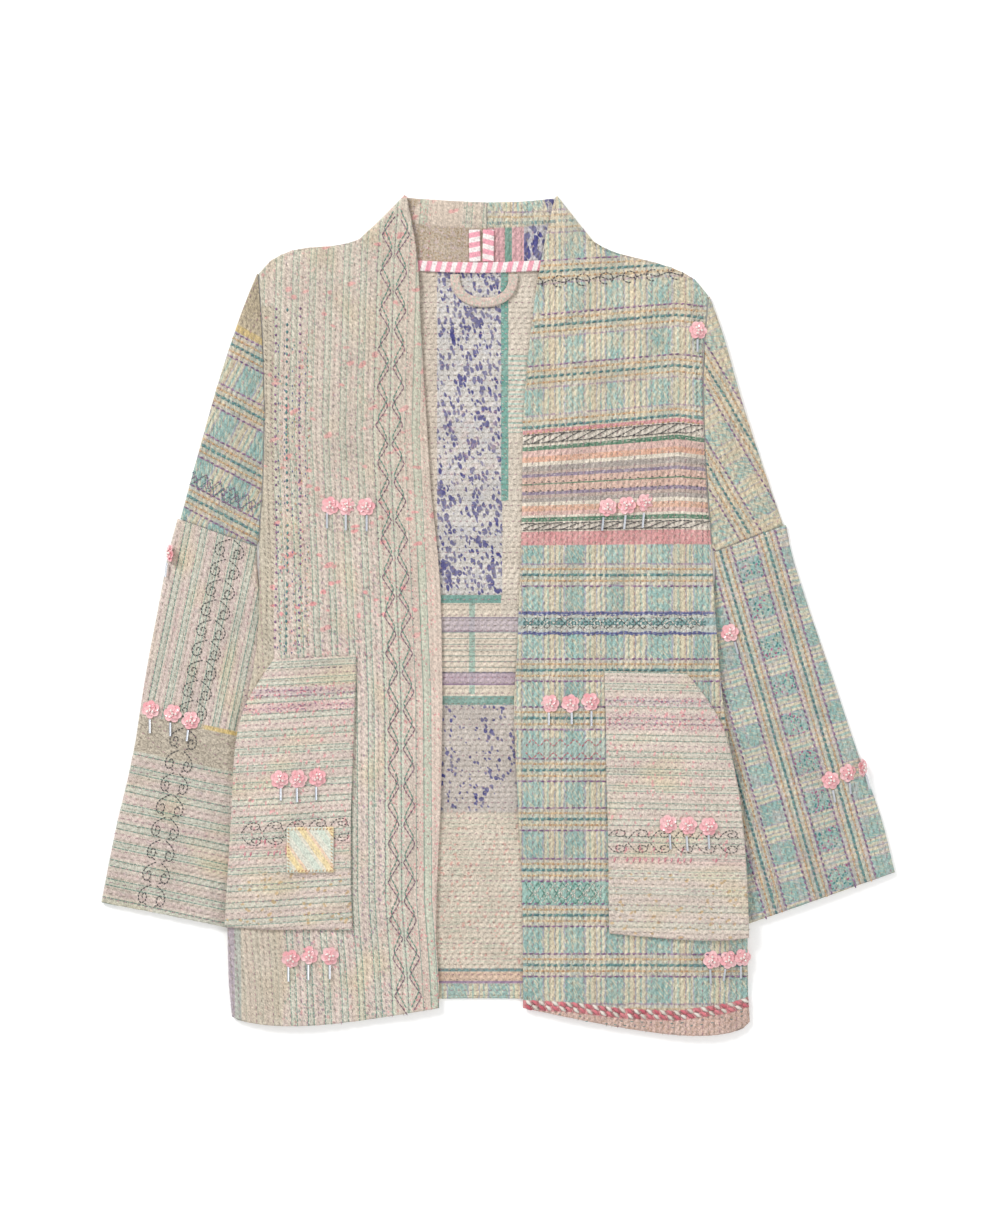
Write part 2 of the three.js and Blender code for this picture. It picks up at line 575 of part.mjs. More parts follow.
// A patch pocket laid on the front, with stitched rows across it.
const POCKET_STATIONS = 10;
const POCKET_PITCH = 10.5;
const POCKET_GAP = 0.6;
function pocketGrid(rows, front) {
  const outerLine = lineThrough(rows, "outerX", "outerY");
  const innerLine = lineThrough(rows, "innerX", "innerY");
  const bowLine = lineThrough(rows.map((row, i) => ({ i, bow: row.bow })), "i", "bow");
  const height = rows[rows.length - 1].innerY - rows[0].innerY;
  const sections = 2 * Math.round(height / POCKET_PITCH);
  return Array.from({ length: sections + 1 }, (_, i) =>
    Array.from({ length: POCKET_STATIONS + 1 }, (_, j) => {
      const t = i / sections;
      const point = onSection(outerLine(t), innerLine(t), j / POCKET_STATIONS, bowLine(t).y, 0.4);
      const ground = heightOn(front.grid, point.x, point.y) + WALL / 2 + QUILT_RIDGE;
      point.z = ground + POCKET_GAP + POCKET_WALL / 2;
      return point;
    }),
  );
}

function pocket(grid, side) {
  const sections = grid.length - 1;
  return wall(grid, {
    keptSections: everyNth(sections, 4),
    keptStations: everyNth(POCKET_STATIONS, 1),
    outer: (i) => POCKET_WALL / 2 + (i % 2 === 1 && i < sections ? QUILT_RIDGE : 0),
    inner: () => POCKET_WALL / 2,
    flip: side === "left",
  });
}

// The small square mend on the right pocket.
function mend(under) {
  const steps = 5;
  const grid = Array.from({ length: steps + 1 }, (_, i) =>
    Array.from({ length: steps + 1 }, (_, j) => {
      const x = THREE.MathUtils.lerp(MEND.left, MEND.right, j / steps);
      const y = THREE.MathUtils.lerp(MEND.bottom, MEND.top, i / steps);
      const pocketTop = heightOn(under, x, y) + POCKET_WALL / 2 + QUILT_RIDGE;
      return new THREE.Vector3(x, y, pocketTop + POCKET_GAP + MEND.wall / 2);
    }),
  );
  return wall(grid, {
    keptSections: everyNth(steps, 1),
    keptStations: everyNth(steps, 1),
    outer: () => MEND.wall / 2,
    inner: () => MEND.wall / 2,
  });
}

// A flat strip of binding along a line, lying on the cloth behind it.
function strip(centreAt, width, level, steps) {
  const across = 2;
  const grid = Array.from({ length: steps + 1 }, (_, i) => {
    const t = i / steps;
    const here = centreAt(t);
    const ahead = centreAt(Math.min(1, t + 0.01)).sub(centreAt(Math.max(0, t - 0.01))).normalize();
    const side = new THREE.Vector3(ahead.y, -ahead.x, 0);
    return Array.from({ length: across + 1 }, (_, j) => {
      const point = here.clone().addScaledVector(side, width * (j / across - 0.5));
      point.z = level + BINDING_WALL / 2 + (j === 1 ? 0.25 : 0);
      return point;
    });
  });
  return wall(grid, {
    keptSections: everyNth(steps, 1),
    keptStations: everyNth(across, 1),
    outer: () => BINDING_WALL / 2,
    inner: () => BINDING_WALL / 2,
  });
}

function neckBinding() {
  const { fromX, toX, width, sag, endY } = NECK_BINDING;
  const centreAt = (t) => new THREE.Vector3(
    THREE.MathUtils.lerp(fromX, toX, t),
    endY - sag * Math.sin(Math.PI * t) - width / 4,
    0,
  );
  return strip(centreAt, width, WALL + SEAM_GAP + 0.25, 14);
}

function centreBinding({ x, topX, topY }) {
  const bottomY = NECK_BINDING.endY - NECK_BINDING.sag + NECK_BINDING.width / 4 + 0.8;
  const centreAt = (t) => new THREE.Vector3(
    THREE.MathUtils.lerp(x, topX, t),
    THREE.MathUtils.lerp(bottomY, topY, t),
    0,
  );
  return strip(centreAt, CENTRE_BINDING_WIDTH, WALL + SEAM_GAP, 4);
}

// The hanging loop: a flat tube of cloth in a U, its two ends sewn in at the neck seam.
function hangingLoop() {
  const { centreX, topY, halfWidth, drop, band, thick, steps } = LOOP;
  const middle = halfWidth - band / 2;
  const level = WALL + SEAM_GAP + thick / 2;
  const points = [];
  for (let i = 0; i <= steps; i++) {
    const angle = Math.PI * (i / steps);
    const deep = (drop - band / 2) * Math.pow(Math.sin(angle), 0.75);
    points.push(new THREE.Vector3(centreX - middle * Math.cos(angle), topY - deep, level));
  }
  const half = band / 2;
  const halfThick = thick / 2;
  const soft = 0.9;
  const section = new THREE.Shape();
  section.moveTo(-halfThick, -half + soft);
  section.lineTo(-halfThick + soft, -half);
  section.lineTo(halfThick - soft, -half);
  section.lineTo(halfThick, -half + soft);
  section.lineTo(halfThick, half - soft);
  section.lineTo(halfThick - soft, half);
  section.lineTo(-halfThick + soft, half);
  section.lineTo(-halfThick, half - soft);
  section.closePath();
  const path = new THREE.CatmullRomCurve3(points, false, "centripetal");
  return new THREE.ExtrudeGeometry(section, { steps, bevelEnabled: false, extrudePath: path });
}

const SAGE_STRIPE = new THREE.MeshStandardMaterial({ color: 0xcdc6b6, roughness: 0.9, metalness: 0 });
const TEAL_PLAID = new THREE.MeshStandardMaterial({ color: 0xbac2b3, roughness: 0.9, metalness: 0 });
const INSIDE_PRINT = new THREE.MeshStandardMaterial({ color: 0xc8bdb4, roughness: 0.9, metalness: 0 });
const CANDY_BINDING = new THREE.MeshStandardMaterial({ color: 0xf0b9c0, roughness: 0.8, metalness: 0 });
const MEND_CLOTH = new THREE.MeshStandardMaterial({ color: 0xcfd8c4, roughness: 0.9, metalness: 0 });

const UPPER = { sections: 7, loftFrom: 0, flip: true, armhole: FRONT_RIGHT };
const LOWER = { sections: 11, loftFrom: 1, flip: true };
const UPPER_RIPPLED = { sections: 28, loftFrom: 0, acrossRidges: true, flip: false, armhole: FRONT_LEFT };
const LOWER_RIPPLED = { sections: 44, loftFrom: 1, acrossRidges: true, flip: false };
const frontRight = frontGrid(FRONT_RIGHT, "right");
const frontLeft = frontGrid(FRONT_LEFT, "left");
const pocketRight = pocketGrid(POCKET_RIGHT, frontRight);
const pocketLeft = pocketGrid(POCKET_LEFT, frontLeft);
const pieces = [
  ["front_right", frontPanel(frontRight, COLLAR_RIGHT, "right"), SAGE_STRIPE],
  ["front_left", frontPanel(frontLeft, COLLAR_LEFT, "left"), TEAL_PLAID],
  ["back", backPanel(), INSIDE_PRINT],
  ["sleeve_right_upper", sleeve(SLEEVE_RIGHT_UPPER, UPPER), TEAL_PLAID],
  ["sleeve_right_lower", sleeve(SLEEVE_RIGHT_LOWER, LOWER), SAGE_STRIPE],
  ["sleeve_left_upper", sleeve(SLEEVE_LEFT_UPPER, UPPER_RIPPLED), TEAL_PLAID],
  ["sleeve_left_lower", sleeve(SLEEVE_LEFT_LOWER, LOWER_RIPPLED), TEAL_PLAID],
  ["pocket_right", pocket(pocketRight, "right"), SAGE_STRIPE],
  ["pocket_left", pocket(pocketLeft, "left"), SAGE_STRIPE],
  ["pocket_mend", mend(pocketRight), MEND_CLOTH],
  ["neck_binding", neckBinding(), CANDY_BINDING],
  ...CENTRE_BINDINGS.map((row) => [row.name, centreBinding(row), CANDY_BINDING]),
  ["hanging_loop", hangingLoop(), SAGE_STRIPE],
];

const jacket = new THREE.Group();
for (const [name, geometry, material] of pieces) {
  geometry.deleteAttribute("uv");
  geometry.deleteAttribute("normal");
  const joined = mergeVertices(geometry, 1e-3);
  joined.computeVertexNormals();
  const mesh = new THREE.Mesh(joined, material);
  mesh.name = name;
  jacket.add(mesh);
}
export default jacket;
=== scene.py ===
# A quilted patchwork jacket with sequin flowers, laid flat and seen from straight above.
# Lengths named in millimetres are turned to metres with MM. "Right" and "left" are the wearer's.
import bmesh
import bpy
import math
import random
from mathutils import Matrix, Vector, noise
from mathutils.bvhtree import BVHTree


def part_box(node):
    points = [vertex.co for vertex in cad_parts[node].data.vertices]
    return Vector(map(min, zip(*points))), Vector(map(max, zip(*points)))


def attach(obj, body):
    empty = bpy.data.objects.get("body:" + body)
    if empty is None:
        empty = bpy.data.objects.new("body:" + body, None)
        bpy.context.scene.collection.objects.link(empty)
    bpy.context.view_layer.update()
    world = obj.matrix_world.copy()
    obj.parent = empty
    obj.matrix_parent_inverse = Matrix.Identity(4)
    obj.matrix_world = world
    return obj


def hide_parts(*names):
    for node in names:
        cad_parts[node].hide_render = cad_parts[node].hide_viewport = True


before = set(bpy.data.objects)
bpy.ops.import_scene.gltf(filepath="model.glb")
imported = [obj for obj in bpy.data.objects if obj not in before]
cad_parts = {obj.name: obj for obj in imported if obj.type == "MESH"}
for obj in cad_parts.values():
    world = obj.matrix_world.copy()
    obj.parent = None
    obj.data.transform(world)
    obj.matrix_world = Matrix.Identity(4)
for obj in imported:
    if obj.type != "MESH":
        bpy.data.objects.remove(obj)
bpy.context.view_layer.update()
MM = 0.001


# The view: a long lens straight above the jacket, the studio's soft light and its pale floor.
# The whole picture is 921 mm wide at the jacket's middle level.
def table(columns, rows):
    """A short table as a list of rows, each value found by the name of its column."""
    return [dict(zip(columns.split(), row)) for row in rows]


LENS = 100.0
SENSOR = 36.0
FRAME_WIDTH = 921.0 * MM
VIEW_X = 1.4 * MM
VIEW_HEIGHT = FRAME_WIDTH * LENS / SENSOR
JACKET_LEVEL = 5 * MM
scene = bpy.context.scene
camera_data = bpy.data.cameras.new("studio_camera")
camera_data.lens = LENS
camera_data.sensor_width = SENSOR
camera_data.sensor_fit = "HORIZONTAL"
camera = bpy.data.objects.new("studio_camera", camera_data)
camera.location = (VIEW_X, 0.0, VIEW_HEIGHT + JACKET_LEVEL)
scene.collection.objects.link(camera)
scene.camera = camera
scene.view_settings.view_transform = "Standard"

FLOOR_SIZE = 6.0
FLOOR_LEVEL = -0.2 * MM
FLOOR_WHITE = (0.985, 0.985, 0.985, 1)
FLOOR_GLOW = 0.16
bpy.ops.object.select_all(action="DESELECT")
bpy.ops.mesh.primitive_plane_add(size=FLOOR_SIZE, location=(0, 0, FLOOR_LEVEL))
floor = bpy.context.object
floor.name = "studio_floor"
floor_paint = bpy.data.materials.new("studio_floor")
floor_paint.use_nodes = True
floor_shader = floor_paint.node_tree.nodes["Principled BSDF"]
floor_shader.inputs["Base Color"].default_value = FLOOR_WHITE
floor_shader.inputs["Roughness"].default_value = 0.9
floor_shader.inputs["Emission Color"].default_value = (1, 1, 1, 1)
floor_shader.inputs["Emission Strength"].default_value = FLOOR_GLOW
floor.data.materials.append(floor_paint)

SKY_WHITE = (1.0, 0.995, 0.985, 1)
SKY_STRENGTH = 0.62
world = bpy.data.worlds.new("studio_sky")
world.use_nodes = True
sky = world.node_tree.nodes["Background"]
sky.inputs["Color"].default_value = SKY_WHITE
sky.inputs["Strength"].default_value = SKY_STRENGTH
scene.world = world

# Two square soft boxes aimed at the jacket: places and sides in metres, power in watts.
SOFT_BOXES = table("name place side watts", [
    ("key_soft_box", (-1.7, 1.9, 1.9), 1.0, 62),
    ("fill_soft_box", (1.6, -0.6, 2.6), 1.6, 16),
])
for box in SOFT_BOXES:
    lamp = bpy.data.lights.new(box["name"], "AREA")
    lamp.shape = "RECTANGLE"
    lamp.size = box["side"]
    lamp.size_y = box["side"]
    lamp.energy = box["watts"]
    holder = bpy.data.objects.new(box["name"], lamp)
    holder.location = box["place"]
    holder.rotation_euler = (-Vector(box["place"])).to_track_quat("-Z", "Y").to_euler()
    scene.collection.objects.link(holder)


# Right front: quilted cotton in faded pink, beige and green stripes, run through with rows of hand
# stitches that pucker it. Its half of the collar is cut in one with it and folded over at the neck.
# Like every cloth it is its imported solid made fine, with creases and quilting raised in its top.
def turned(x, y, turn):
    """A place in mm as it reads in a frame turned by some degrees: across it, then along it."""
    cos = math.cos(math.radians(turn))
    sin = math.sin(math.radians(turn))
    return x * cos + y * sin, y * cos - x * sin


def along_table(rows, key, value, at):
    """A value read from a short table at a place, with straight lines between its rows."""
    if at <= rows[0][key]:
        return rows[0][value]
    for low, high in zip(rows, rows[1:]):
        if at <= high[key]:
            share = (at - low[key]) / (high[key] - low[key])
            return low[value] + share * (high[value] - low[value])
    return rows[-1][value]


WELD_DISTANCE = 0.01 * MM
JOIN_ANGLE = 0.7
JOIN_ANY_SHAPE = 3.14
MOST_ROUNDS = 7
FACES_DOWN = -0.6
UNDERSIDE_EDGE = 18 * MM
COVERED_COARSER = 4.0
LONGEST_EDGE = 1.42


def fine_cloth(name, node, across, along, shows=None):
    """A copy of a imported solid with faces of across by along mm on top, coarse below and where covered.

    shows gives the x in mm between which the cloth isn't covered, where part of it is.
    """
    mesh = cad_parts[node].data.copy()
    mesh.name = name
    shape = bmesh.new()
    shape.from_mesh(mesh)
    bmesh.ops.remove_doubles(shape, verts=shape.verts, dist=WELD_DISTANCE)
    bmesh.ops.join_triangles(
        shape, faces=shape.faces, cmp_seam=False, cmp_sharp=False, cmp_uvs=False, cmp_vcols=False,
        cmp_materials=False, angle_face_threshold=JOIN_ANGLE, angle_shape_threshold=JOIN_ANY_SHAPE)
    for _ in range(MOST_ROUNDS):
        long_edges = []
        for edge in shape.edges:
            run = edge.verts[1].co - edge.verts[0].co
            if all(face.normal.z < FACES_DOWN for face in edge.link_faces):
                too_long = run.length > UNDERSIDE_EDGE
            else:
                middle = (edge.verts[0].co.x + edge.verts[1].co.x) / 2 / MM
                covered = shows is not None and not shows[0] < middle < shows[1]
                longest = LONGEST_EDGE * (COVERED_COARSER if covered else 1.0)
                too_long = math.hypot(run.x / MM / across, run.y / MM / along, run.z / MM / across) > longest
            if too_long:
                long_edges.append(edge)
        if not long_edges:
            break
        bmesh.ops.subdivide_edges(shape, edges=long_edges, cuts=1, use_grid_fill=True)
    ngons = [face for face in shape.faces if len(face.verts) > 4]
    bmesh.ops.triangulate(shape, faces=ngons)
    shape.to_mesh(mesh)
    shape.free()
    mesh.materials.clear()
    piece = bpy.data.objects.new(name, mesh)
    scene.collection.objects.link(piece)
    for polygon in mesh.polygons:
        polygon.use_smooth = True
    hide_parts(node)
    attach(piece, "root")
    return piece


FOLD_END = 1.3
FOLD_SIDE = 3.2
FOLD_FADE = -1.8


def crease_depth(x, y, creases):
    """How far the cloth sinks or rises at a place in mm, from a short table of folds."""
    total = 0.0
    for fold in creases:
        along, across = turned(x - fold["x"], y - fold["y"], fold["angle"])
        across += fold["curve"] * (along / fold["length"]) ** 2
        reach = along / (fold["length"] / 2)
        if abs(reach) < FOLD_END and abs(across) < FOLD_SIDE * fold["width"]:
            fade = math.exp(FOLD_FADE * reach ** 4)
            total += fold["depth"] * fade * math.exp(-((across / fold["width"]) ** 2))
    return total


QUILT_REACH = 500.0


def plain_quilt(row, wave, slant, height, turn, line=None):
    """How a cloth is quilted all one way: rows row mm apart, ripples wave mm long and height mm high."""
    sections = table("low high turn", [(-QUILT_REACH, QUILT_REACH, turn)])
    return {
        "row": row, "wave": wave, "slant": slant, "height": height, "cut": 0, "line": line,
        "sections": sections}


def quilt_place(quilt, x, y):
    """A place across and along the rows of stitches that run there, in mm."""
    cut = turned(x, y, quilt["cut"])[1]
    bend = along_table(quilt["line"], "y", "x", y) if quilt["line"] else 0.0
    for section in quilt["sections"]:
        if section["low"] <= cut < section["high"]:
            return turned(x - bend, y, section["turn"])
    return x, y


LANE_SWAY = 0.14
LANE_SHIFT = 0.31
RIPPLE_DRIFT = 2.2
RIPPLE_SHARE = 0.75


def pucker(u, v, quilt):
    """Rows of stitches hold the cloth down; between them it puffs up in short slanted ripples: 0 to 1."""
    lane = u / quilt["row"] + LANE_SWAY * noise.noise(Vector((u * 0.06, v * 0.05, 4.4)))
    number = math.floor(lane)
    inside = lane - number
    drift = noise.noise(Vector((u * 0.021, v * 0.017, number * 0.37))) * RIPPLE_DRIFT
    turn = v / quilt["wave"] + LANE_SHIFT * number + drift + quilt["slant"] * inside
    ripple = 0.5 + 0.5 * math.sin(2 * math.pi * turn)
    tight = min(1.0, 0.8 + 0.7 * noise.noise(Vector((u * 0.04, v * 0.03, 9.1))))
    return math.sin(math.pi * inside) ** 0.7 * (1 - RIPPLE_SHARE + RIPPLE_SHARE * ripple) * tight


TOP_STARTS = 0.25
TOP_BLEND = 0.6


def relief(piece, creases, quilt, swell=0.5, settle=2):
    """Moves the top of a cloth along its normals, in creases, slow swells and the puckers of its quilting."""
    shape = bmesh.new()
    shape.from_mesh(piece.data)
    # puff: each point's pucker height, 0 to 1, which the cloth shaders read for wear and for their painted
    # shade between puckers.
    puff_layer = shape.verts.layers.float.new("puff")
    top = [vertex for vertex in shape.verts if vertex.normal.z > TOP_STARTS]
    for _ in range(settle):
        bmesh.ops.smooth_vert(
            shape, verts=top, factor=0.5, use_axis_x=False, use_axis_y=False, use_axis_z=True)
    shape.normal_update()
    moves = []
    for vertex in top:
        x = vertex.co.x / MM
        y = vertex.co.y / MM
        puff = pucker(*quilt_place(quilt, x, y), quilt)
        vertex[puff_layer] = puff
        slow = noise.noise(Vector((x * 0.013, y * 0.011, 3.1)))
        slow += 0.5 * noise.noise(Vector((x * 0.05, y * 0.04, 7.7)))
        depth = crease_depth(x, y, creases) + swell * slow + quilt["height"] * (puff - 0.5)
        rim = min(1.0, max(0.0, (vertex.normal.z - TOP_STARTS) / TOP_BLEND))
        moves.append((vertex, vertex.normal * depth * rim * MM))
    for vertex, move in moves:
        vertex.co += move
    shape.to_mesh(piece.data)
    shape.free()


def keep_place(piece, name, rule):
    """Stores a point attribute that a pattern follows: rule gives three numbers for a vertex."""
    layer = piece.data.attributes.new(name, "FLOAT_VECTOR", "POINT")
    for vertex in piece.data.vertices:
        layer.data[vertex.index].vector = rule(vertex.co.x / MM, vertex.co.y / MM, vertex)


def dye(red, green, blue, strength=1.0):
    """A colour from its 0-255 screen values, as the linear colour that a shader takes."""
    channels = []
    for value in (red, green, blue):
        share = value / 255
        channels.append(share / 12.92 if share <= 0.04045 else ((share + 0.055) / 1.055) ** 2.4)
    return (*channels, strength)


WEAVE = 0.9
WORN_PALE = dye(229, 221, 210)


class Dyeing:
    """A cloth's material while it is put together: short names for the nodes that dye it."""

    def __init__(self, name, roughness=0.92, sheen=0.25):
        self.material = bpy.data.materials.new(name)
        self.material.use_nodes = True
        self.tree = self.material.node_tree
        self.shader = self.tree.nodes["Principled BSDF"]
        self.shader.inputs["Roughness"].default_value = roughness
        self.shader.inputs["Specular IOR Level"].default_value = 0.2
        self.shader.inputs["Sheen Weight"].default_value = sheen
        self.shader.inputs["Sheen Roughness"].default_value = 0.6
        self.object_place = self.tree.nodes.new("ShaderNodeTexCoord").outputs["Object"]

    def link(self, source, socket):
        if isinstance(source, (int, float, tuple)):
            socket.default_value = source
        else:
            self.tree.links.new(source, socket)

    def maths(self, operation, first, second=0.0, third=0.0, clamp=False):
        node = self.tree.nodes.new("ShaderNodeMath")
        node.operation = operation
        node.use_clamp = clamp
        for value, socket in zip((first, second, third), node.inputs):
            self.link(value, socket)
        return node.outputs[0]

    def stored(self, name):
        """The three numbers that keep_place stored."""
        node = self.tree.nodes.new("ShaderNodeAttribute")
        node.attribute_name = name
        parts = self.tree.nodes.new("ShaderNodeSeparateXYZ")
        self.tree.links.new(node.outputs["Vector"], parts.inputs[0])
        return parts.outputs[0], parts.outputs[1], parts.outputs[2]

    def stored_number(self, name):
        node = self.tree.nodes.new("ShaderNodeAttribute")
        node.attribute_name = name
        return node.outputs["Fac"]

    def turned(self, turn):
        """Place on the cloth in mm, in a frame turned by some degrees."""
        node = self.tree.nodes.new("ShaderNodeMapping")
        node.inputs["Rotation"].default_value = (0, 0, -math.radians(turn))
        node.inputs["Scale"].default_value = (1000, 1000, 1000)
        self.tree.links.new(self.object_place, node.inputs["Vector"])
        parts = self.tree.nodes.new("ShaderNodeSeparateXYZ")
        self.tree.links.new(node.outputs[0], parts.inputs[0])
        return parts.outputs[0], parts.outputs[1]

    def point(self, x, y, z=0.0):
        node = self.tree.nodes.new("ShaderNodeCombineXYZ")
        for value, socket in zip((x, y, z), node.inputs):
            self.link(value, socket)
        return node.outputs[0]

    def cloud(self, x, y, size_x, size_y, detail=2.0, seed=0.0):
        """Noise between 0 and 1 with patches about size_x by size_y mm."""
        place = self.point(self.maths("DIVIDE", x, size_x), self.maths("DIVIDE", y, size_y), seed)
        node = self.tree.nodes.new("ShaderNodeTexNoise")
        node.inputs["Scale"].default_value = 1.0
        node.inputs["Detail"].default_value = detail
        self.tree.links.new(place, node.inputs["Vector"])
        return node.outputs[0]

    def wobble(self, value, x, y, amount, size=14.0, seed=0.0):
        """value, shaken by up to amount mm so that a stripe runs unevenly."""
        shake = self.maths("MULTIPLY_ADD", self.cloud(x, y, size, size, 2.0, seed), 2 * amount, -amount)
        return self.maths("ADD", value, shake)

    def flecks(self, x, y, wide, tall, least, seed, soft=0.03):
        """1 on small scattered flecks wide by tall mm, 0 between them."""
        spots = self.cloud(x, y, wide, tall, 1.0, seed)
        return self.maths("MULTIPLY_ADD", spots, 1 / soft, -least / soft, clamp=True)

    def spots(self, x, y, wide, tall, size, seed, soft=0.07):
        """1 on well spaced rounded spots, about one to each patch wide by tall mm, of mixed sizes."""
        bent = self.maths("MULTIPLY_ADD", self.cloud(x, y, wide * 1.2, tall * 1.2, 1.0, seed), 0.9, seed)
        place = self.point(
            self.maths("ADD", self.maths("DIVIDE", x, wide), bent),
            self.maths("ADD", self.maths("DIVIDE", y, tall), bent), seed)
        node = self.tree.nodes.new("ShaderNodeTexVoronoi")
        node.inputs["Scale"].default_value = 1.0
        self.tree.links.new(place, node.inputs["Vector"])
        room = self.maths("SUBTRACT", size, node.outputs["Distance"])
        return self.maths("MULTIPLY_ADD", room, 1 / soft, 0.5, clamp=True)

    def ramp_node(self, value, period, stops):
        share = self.maths("FRACT", self.maths("DIVIDE", value, period))
        node = self.tree.nodes.new("ShaderNodeValToRGB")
        node.color_ramp.interpolation = "CONSTANT"
        while len(node.color_ramp.elements) < len(stops):
            node.color_ramp.elements.new(1.0)
        for element, (place, _) in zip(node.color_ramp.elements, stops):
            element.position = place / period
        for element, (_, colour) in zip(node.color_ramp.elements, stops):
            element.color = colour
        self.tree.links.new(share, node.inputs[0])
        return node

    def ramp(self, value, period, stops):
        """A colour from a table of (mm, colour) along value, repeated each period."""
        return self.ramp_node(value, period, stops).outputs[0]

    def stripes_over(self, colour, value, period, stops, share=1.0):
        """Lays a table of (mm, colour) stripes over a cloth, each as dense as its colour's strength."""
        node = self.ramp_node(value, period, stops)
        return self.mix(self.maths("MULTIPLY", node.outputs[1], share), colour, node.outputs[0])

    def span(self, value, low, high, soft=0.3):
        """1 between low and high, 0 outside, with soft mm at each end."""
        rise = self.maths("MULTIPLY_ADD", value, 1 / (2 * soft), 0.5 - low / (2 * soft), clamp=True)
        fall = self.maths("MULTIPLY_ADD", value, -1 / (2 * soft), 0.5 + high / (2 * soft), clamp=True)
        return self.maths("MULTIPLY", rise, fall)

    def dashes(self, value, length, share=0.6, phase=0.0):
        """1 on each stitch, 0 between stitches."""
        along = self.maths("FRACT", self.maths("ADD", self.maths("DIVIDE", value, length), phase))
        return self.maths("LESS_THAN", along, share)

    def both(self, first, second):
        return self.maths("MULTIPLY", first, second)

    def mix(self, share, under, over, blend="MIX"):
        node = self.tree.nodes.new("ShaderNodeMix")
        node.data_type = "RGBA"
        node.blend_type = blend
        self.link(share, node.inputs[0])
        self.link(under, node.inputs[6])
        self.link(over, node.inputs[7])
        return node.outputs[2]

    def bump(self, height, strength, depth):
        """Relief too fine for the mesh, shaded from a height that reaches depth mm."""
        node = self.tree.nodes.new("ShaderNodeBump")
        node.inputs["Strength"].default_value = strength
        node.inputs["Distance"].default_value = depth * MM
        self.link(height, node.inputs["Height"])
        self.link(node.outputs[0], self.shader.inputs["Normal"])

    def finish(self, colour, wear=0.5, tone=0.9, shade=0.42):
        """Adds wear, mottling, yarn and a painted shade between puckers, darker in their valleys, and joins
        all to the shader.
        """
        x, y = self.turned(0)
        puff = self.stored_number("puff")
        patchy = self.cloud(x, y, 26, 22, 3.0, 5.0)
        worn = self.maths("MULTIPLY", self.maths("SUBTRACT", patchy, 0.4, clamp=True), wear * 2.4, clamp=True)
        rubbed = self.maths("MULTIPLY_ADD", puff, wear * 0.3, worn, clamp=True)
        colour = self.mix(rubbed, colour, WORN_PALE)
        yarn = self.cloud(x, y, 0.55, 0.55, 2.0, 12.0)
        thread_u = self.maths("SINE", self.maths("MULTIPLY", x, 2 * math.pi / WEAVE))
        thread_v = self.maths("SINE", self.maths("MULTIPLY", y, 2 * math.pi / WEAVE))
        weave = self.maths("MULTIPLY", thread_u, thread_v)
        # Painted shade: the colour is darkened in the valleys between puckers and kept lighter on their
        # puffed tops, read from the stored pucker height; yarn, slanted tick and mottle noise then vary it.
        light = self.maths("MULTIPLY_ADD", puff, shade, 1.0 - shade * 0.55)
        ticks = self.cloud(self.maths("MULTIPLY_ADD", y, 0.5, x), y, 0.9, 2.0, 1.0, 13.0)
        mottle = self.cloud(x, y, 4.5, 4.5, 3.0, 9.0)
        for grain, strength in ((yarn, 0.6), (ticks, 1.3), (mottle, 0.5)):
            light = self.maths("MULTIPLY_ADD", self.maths("SUBTRACT", grain, 0.5), strength, light)
        light = self.maths("MULTIPLY", light, tone)
        colour = self.mix(1.0, colour, self.point(light, light, light), "MULTIPLY")
        self.link(colour, self.shader.inputs["Base Color"])
        height = self.maths("MULTIPLY_ADD", weave, 0.25, self.maths("MULTIPLY", yarn, 1.4))
        self.bump(height, 0.5, 0.35)
        return self.material


FRONT_RIGHT_CREASES = table("x y angle length width depth curve", [
    (-170, 262, -62, 120, 9, -0.9, 10), (-190, 120, -80, 150, 11, 0.8, -8),
    (-120, 60, 86, 190, 14, 0.7, 6), (-205, 20, 60, 70, 8, -1.0, 6), (-90, -210, 88, 260, 12, 0.6, -6),
    (-160, -330, 78, 90, 13, 0.9, 4), (-105, -335, 97, 80, 12, -0.9, 4),
    (-218, -320, 84, 90, 9, -0.8, 4),
])
# The line that the front's stripes follow, in mm: the middle of its embroidered band.
RIGHT_BAND_LINE = table("y x", [
    (-370, -82.5), (-330, -84.5), (-262, -89.5), (-78, -90.2), (40, -95.0), (170, -101.0), (326, -96.6),
    (390, -92.0),
])
RIGHT_QUILT = plain_quilt(5.2, 6.8, 0.9, 0.92, 0, RIGHT_BAND_LINE)
COLLAR_START = 318.0
TURNED_LEVEL = 2.55
ALL_WIDE = 999.0
PALE_GREEN = dye(211, 214, 198)
BEIGE = dye(225, 212, 198)
BLUSH = dye(226, 204, 197)
GREEN_THREAD = dye(92, 144, 130)
CREAM = dye(234, 223, 206)
STRAW = dye(230, 214, 160)


def lining_shows(vertex):
    """1 on the collar's lining, 0 on the outside of the cloth and on its turned edge."""
    low = vertex.co.z / MM < TURNED_LEVEL and vertex.co.y / MM > COLLAR_START
    return 1.0 if low and vertex.normal.z > 0.1 else 0.0


def right_grain(x, y, vertex):
    return (x - along_table(RIGHT_BAND_LINE, "y", "x", y), y, lining_shows(vertex))


front_right = fine_cloth("front_right_cloth", "front_right", across=1.4, along=1.8)
keep_place(front_right, "grain", right_grain)
relief(front_right, FRONT_RIGHT_CREASES, RIGHT_QUILT)


SAGE_TICKS = table("paint wide tall size share", [
    (dye(150, 128, 132), 2.6, 4.2, 0.3, 0.7), (dye(112, 154, 140), 4.6, 5.2, 0.22, 0.8),
    (dye(234, 144, 152), 6.0, 7.0, 0.2, 0.6), (dye(150, 108, 146), 5.4, 6.4, 0.2, 0.8),
])


SAGE_START = 30.4
SAGE_REPEAT = 15.6


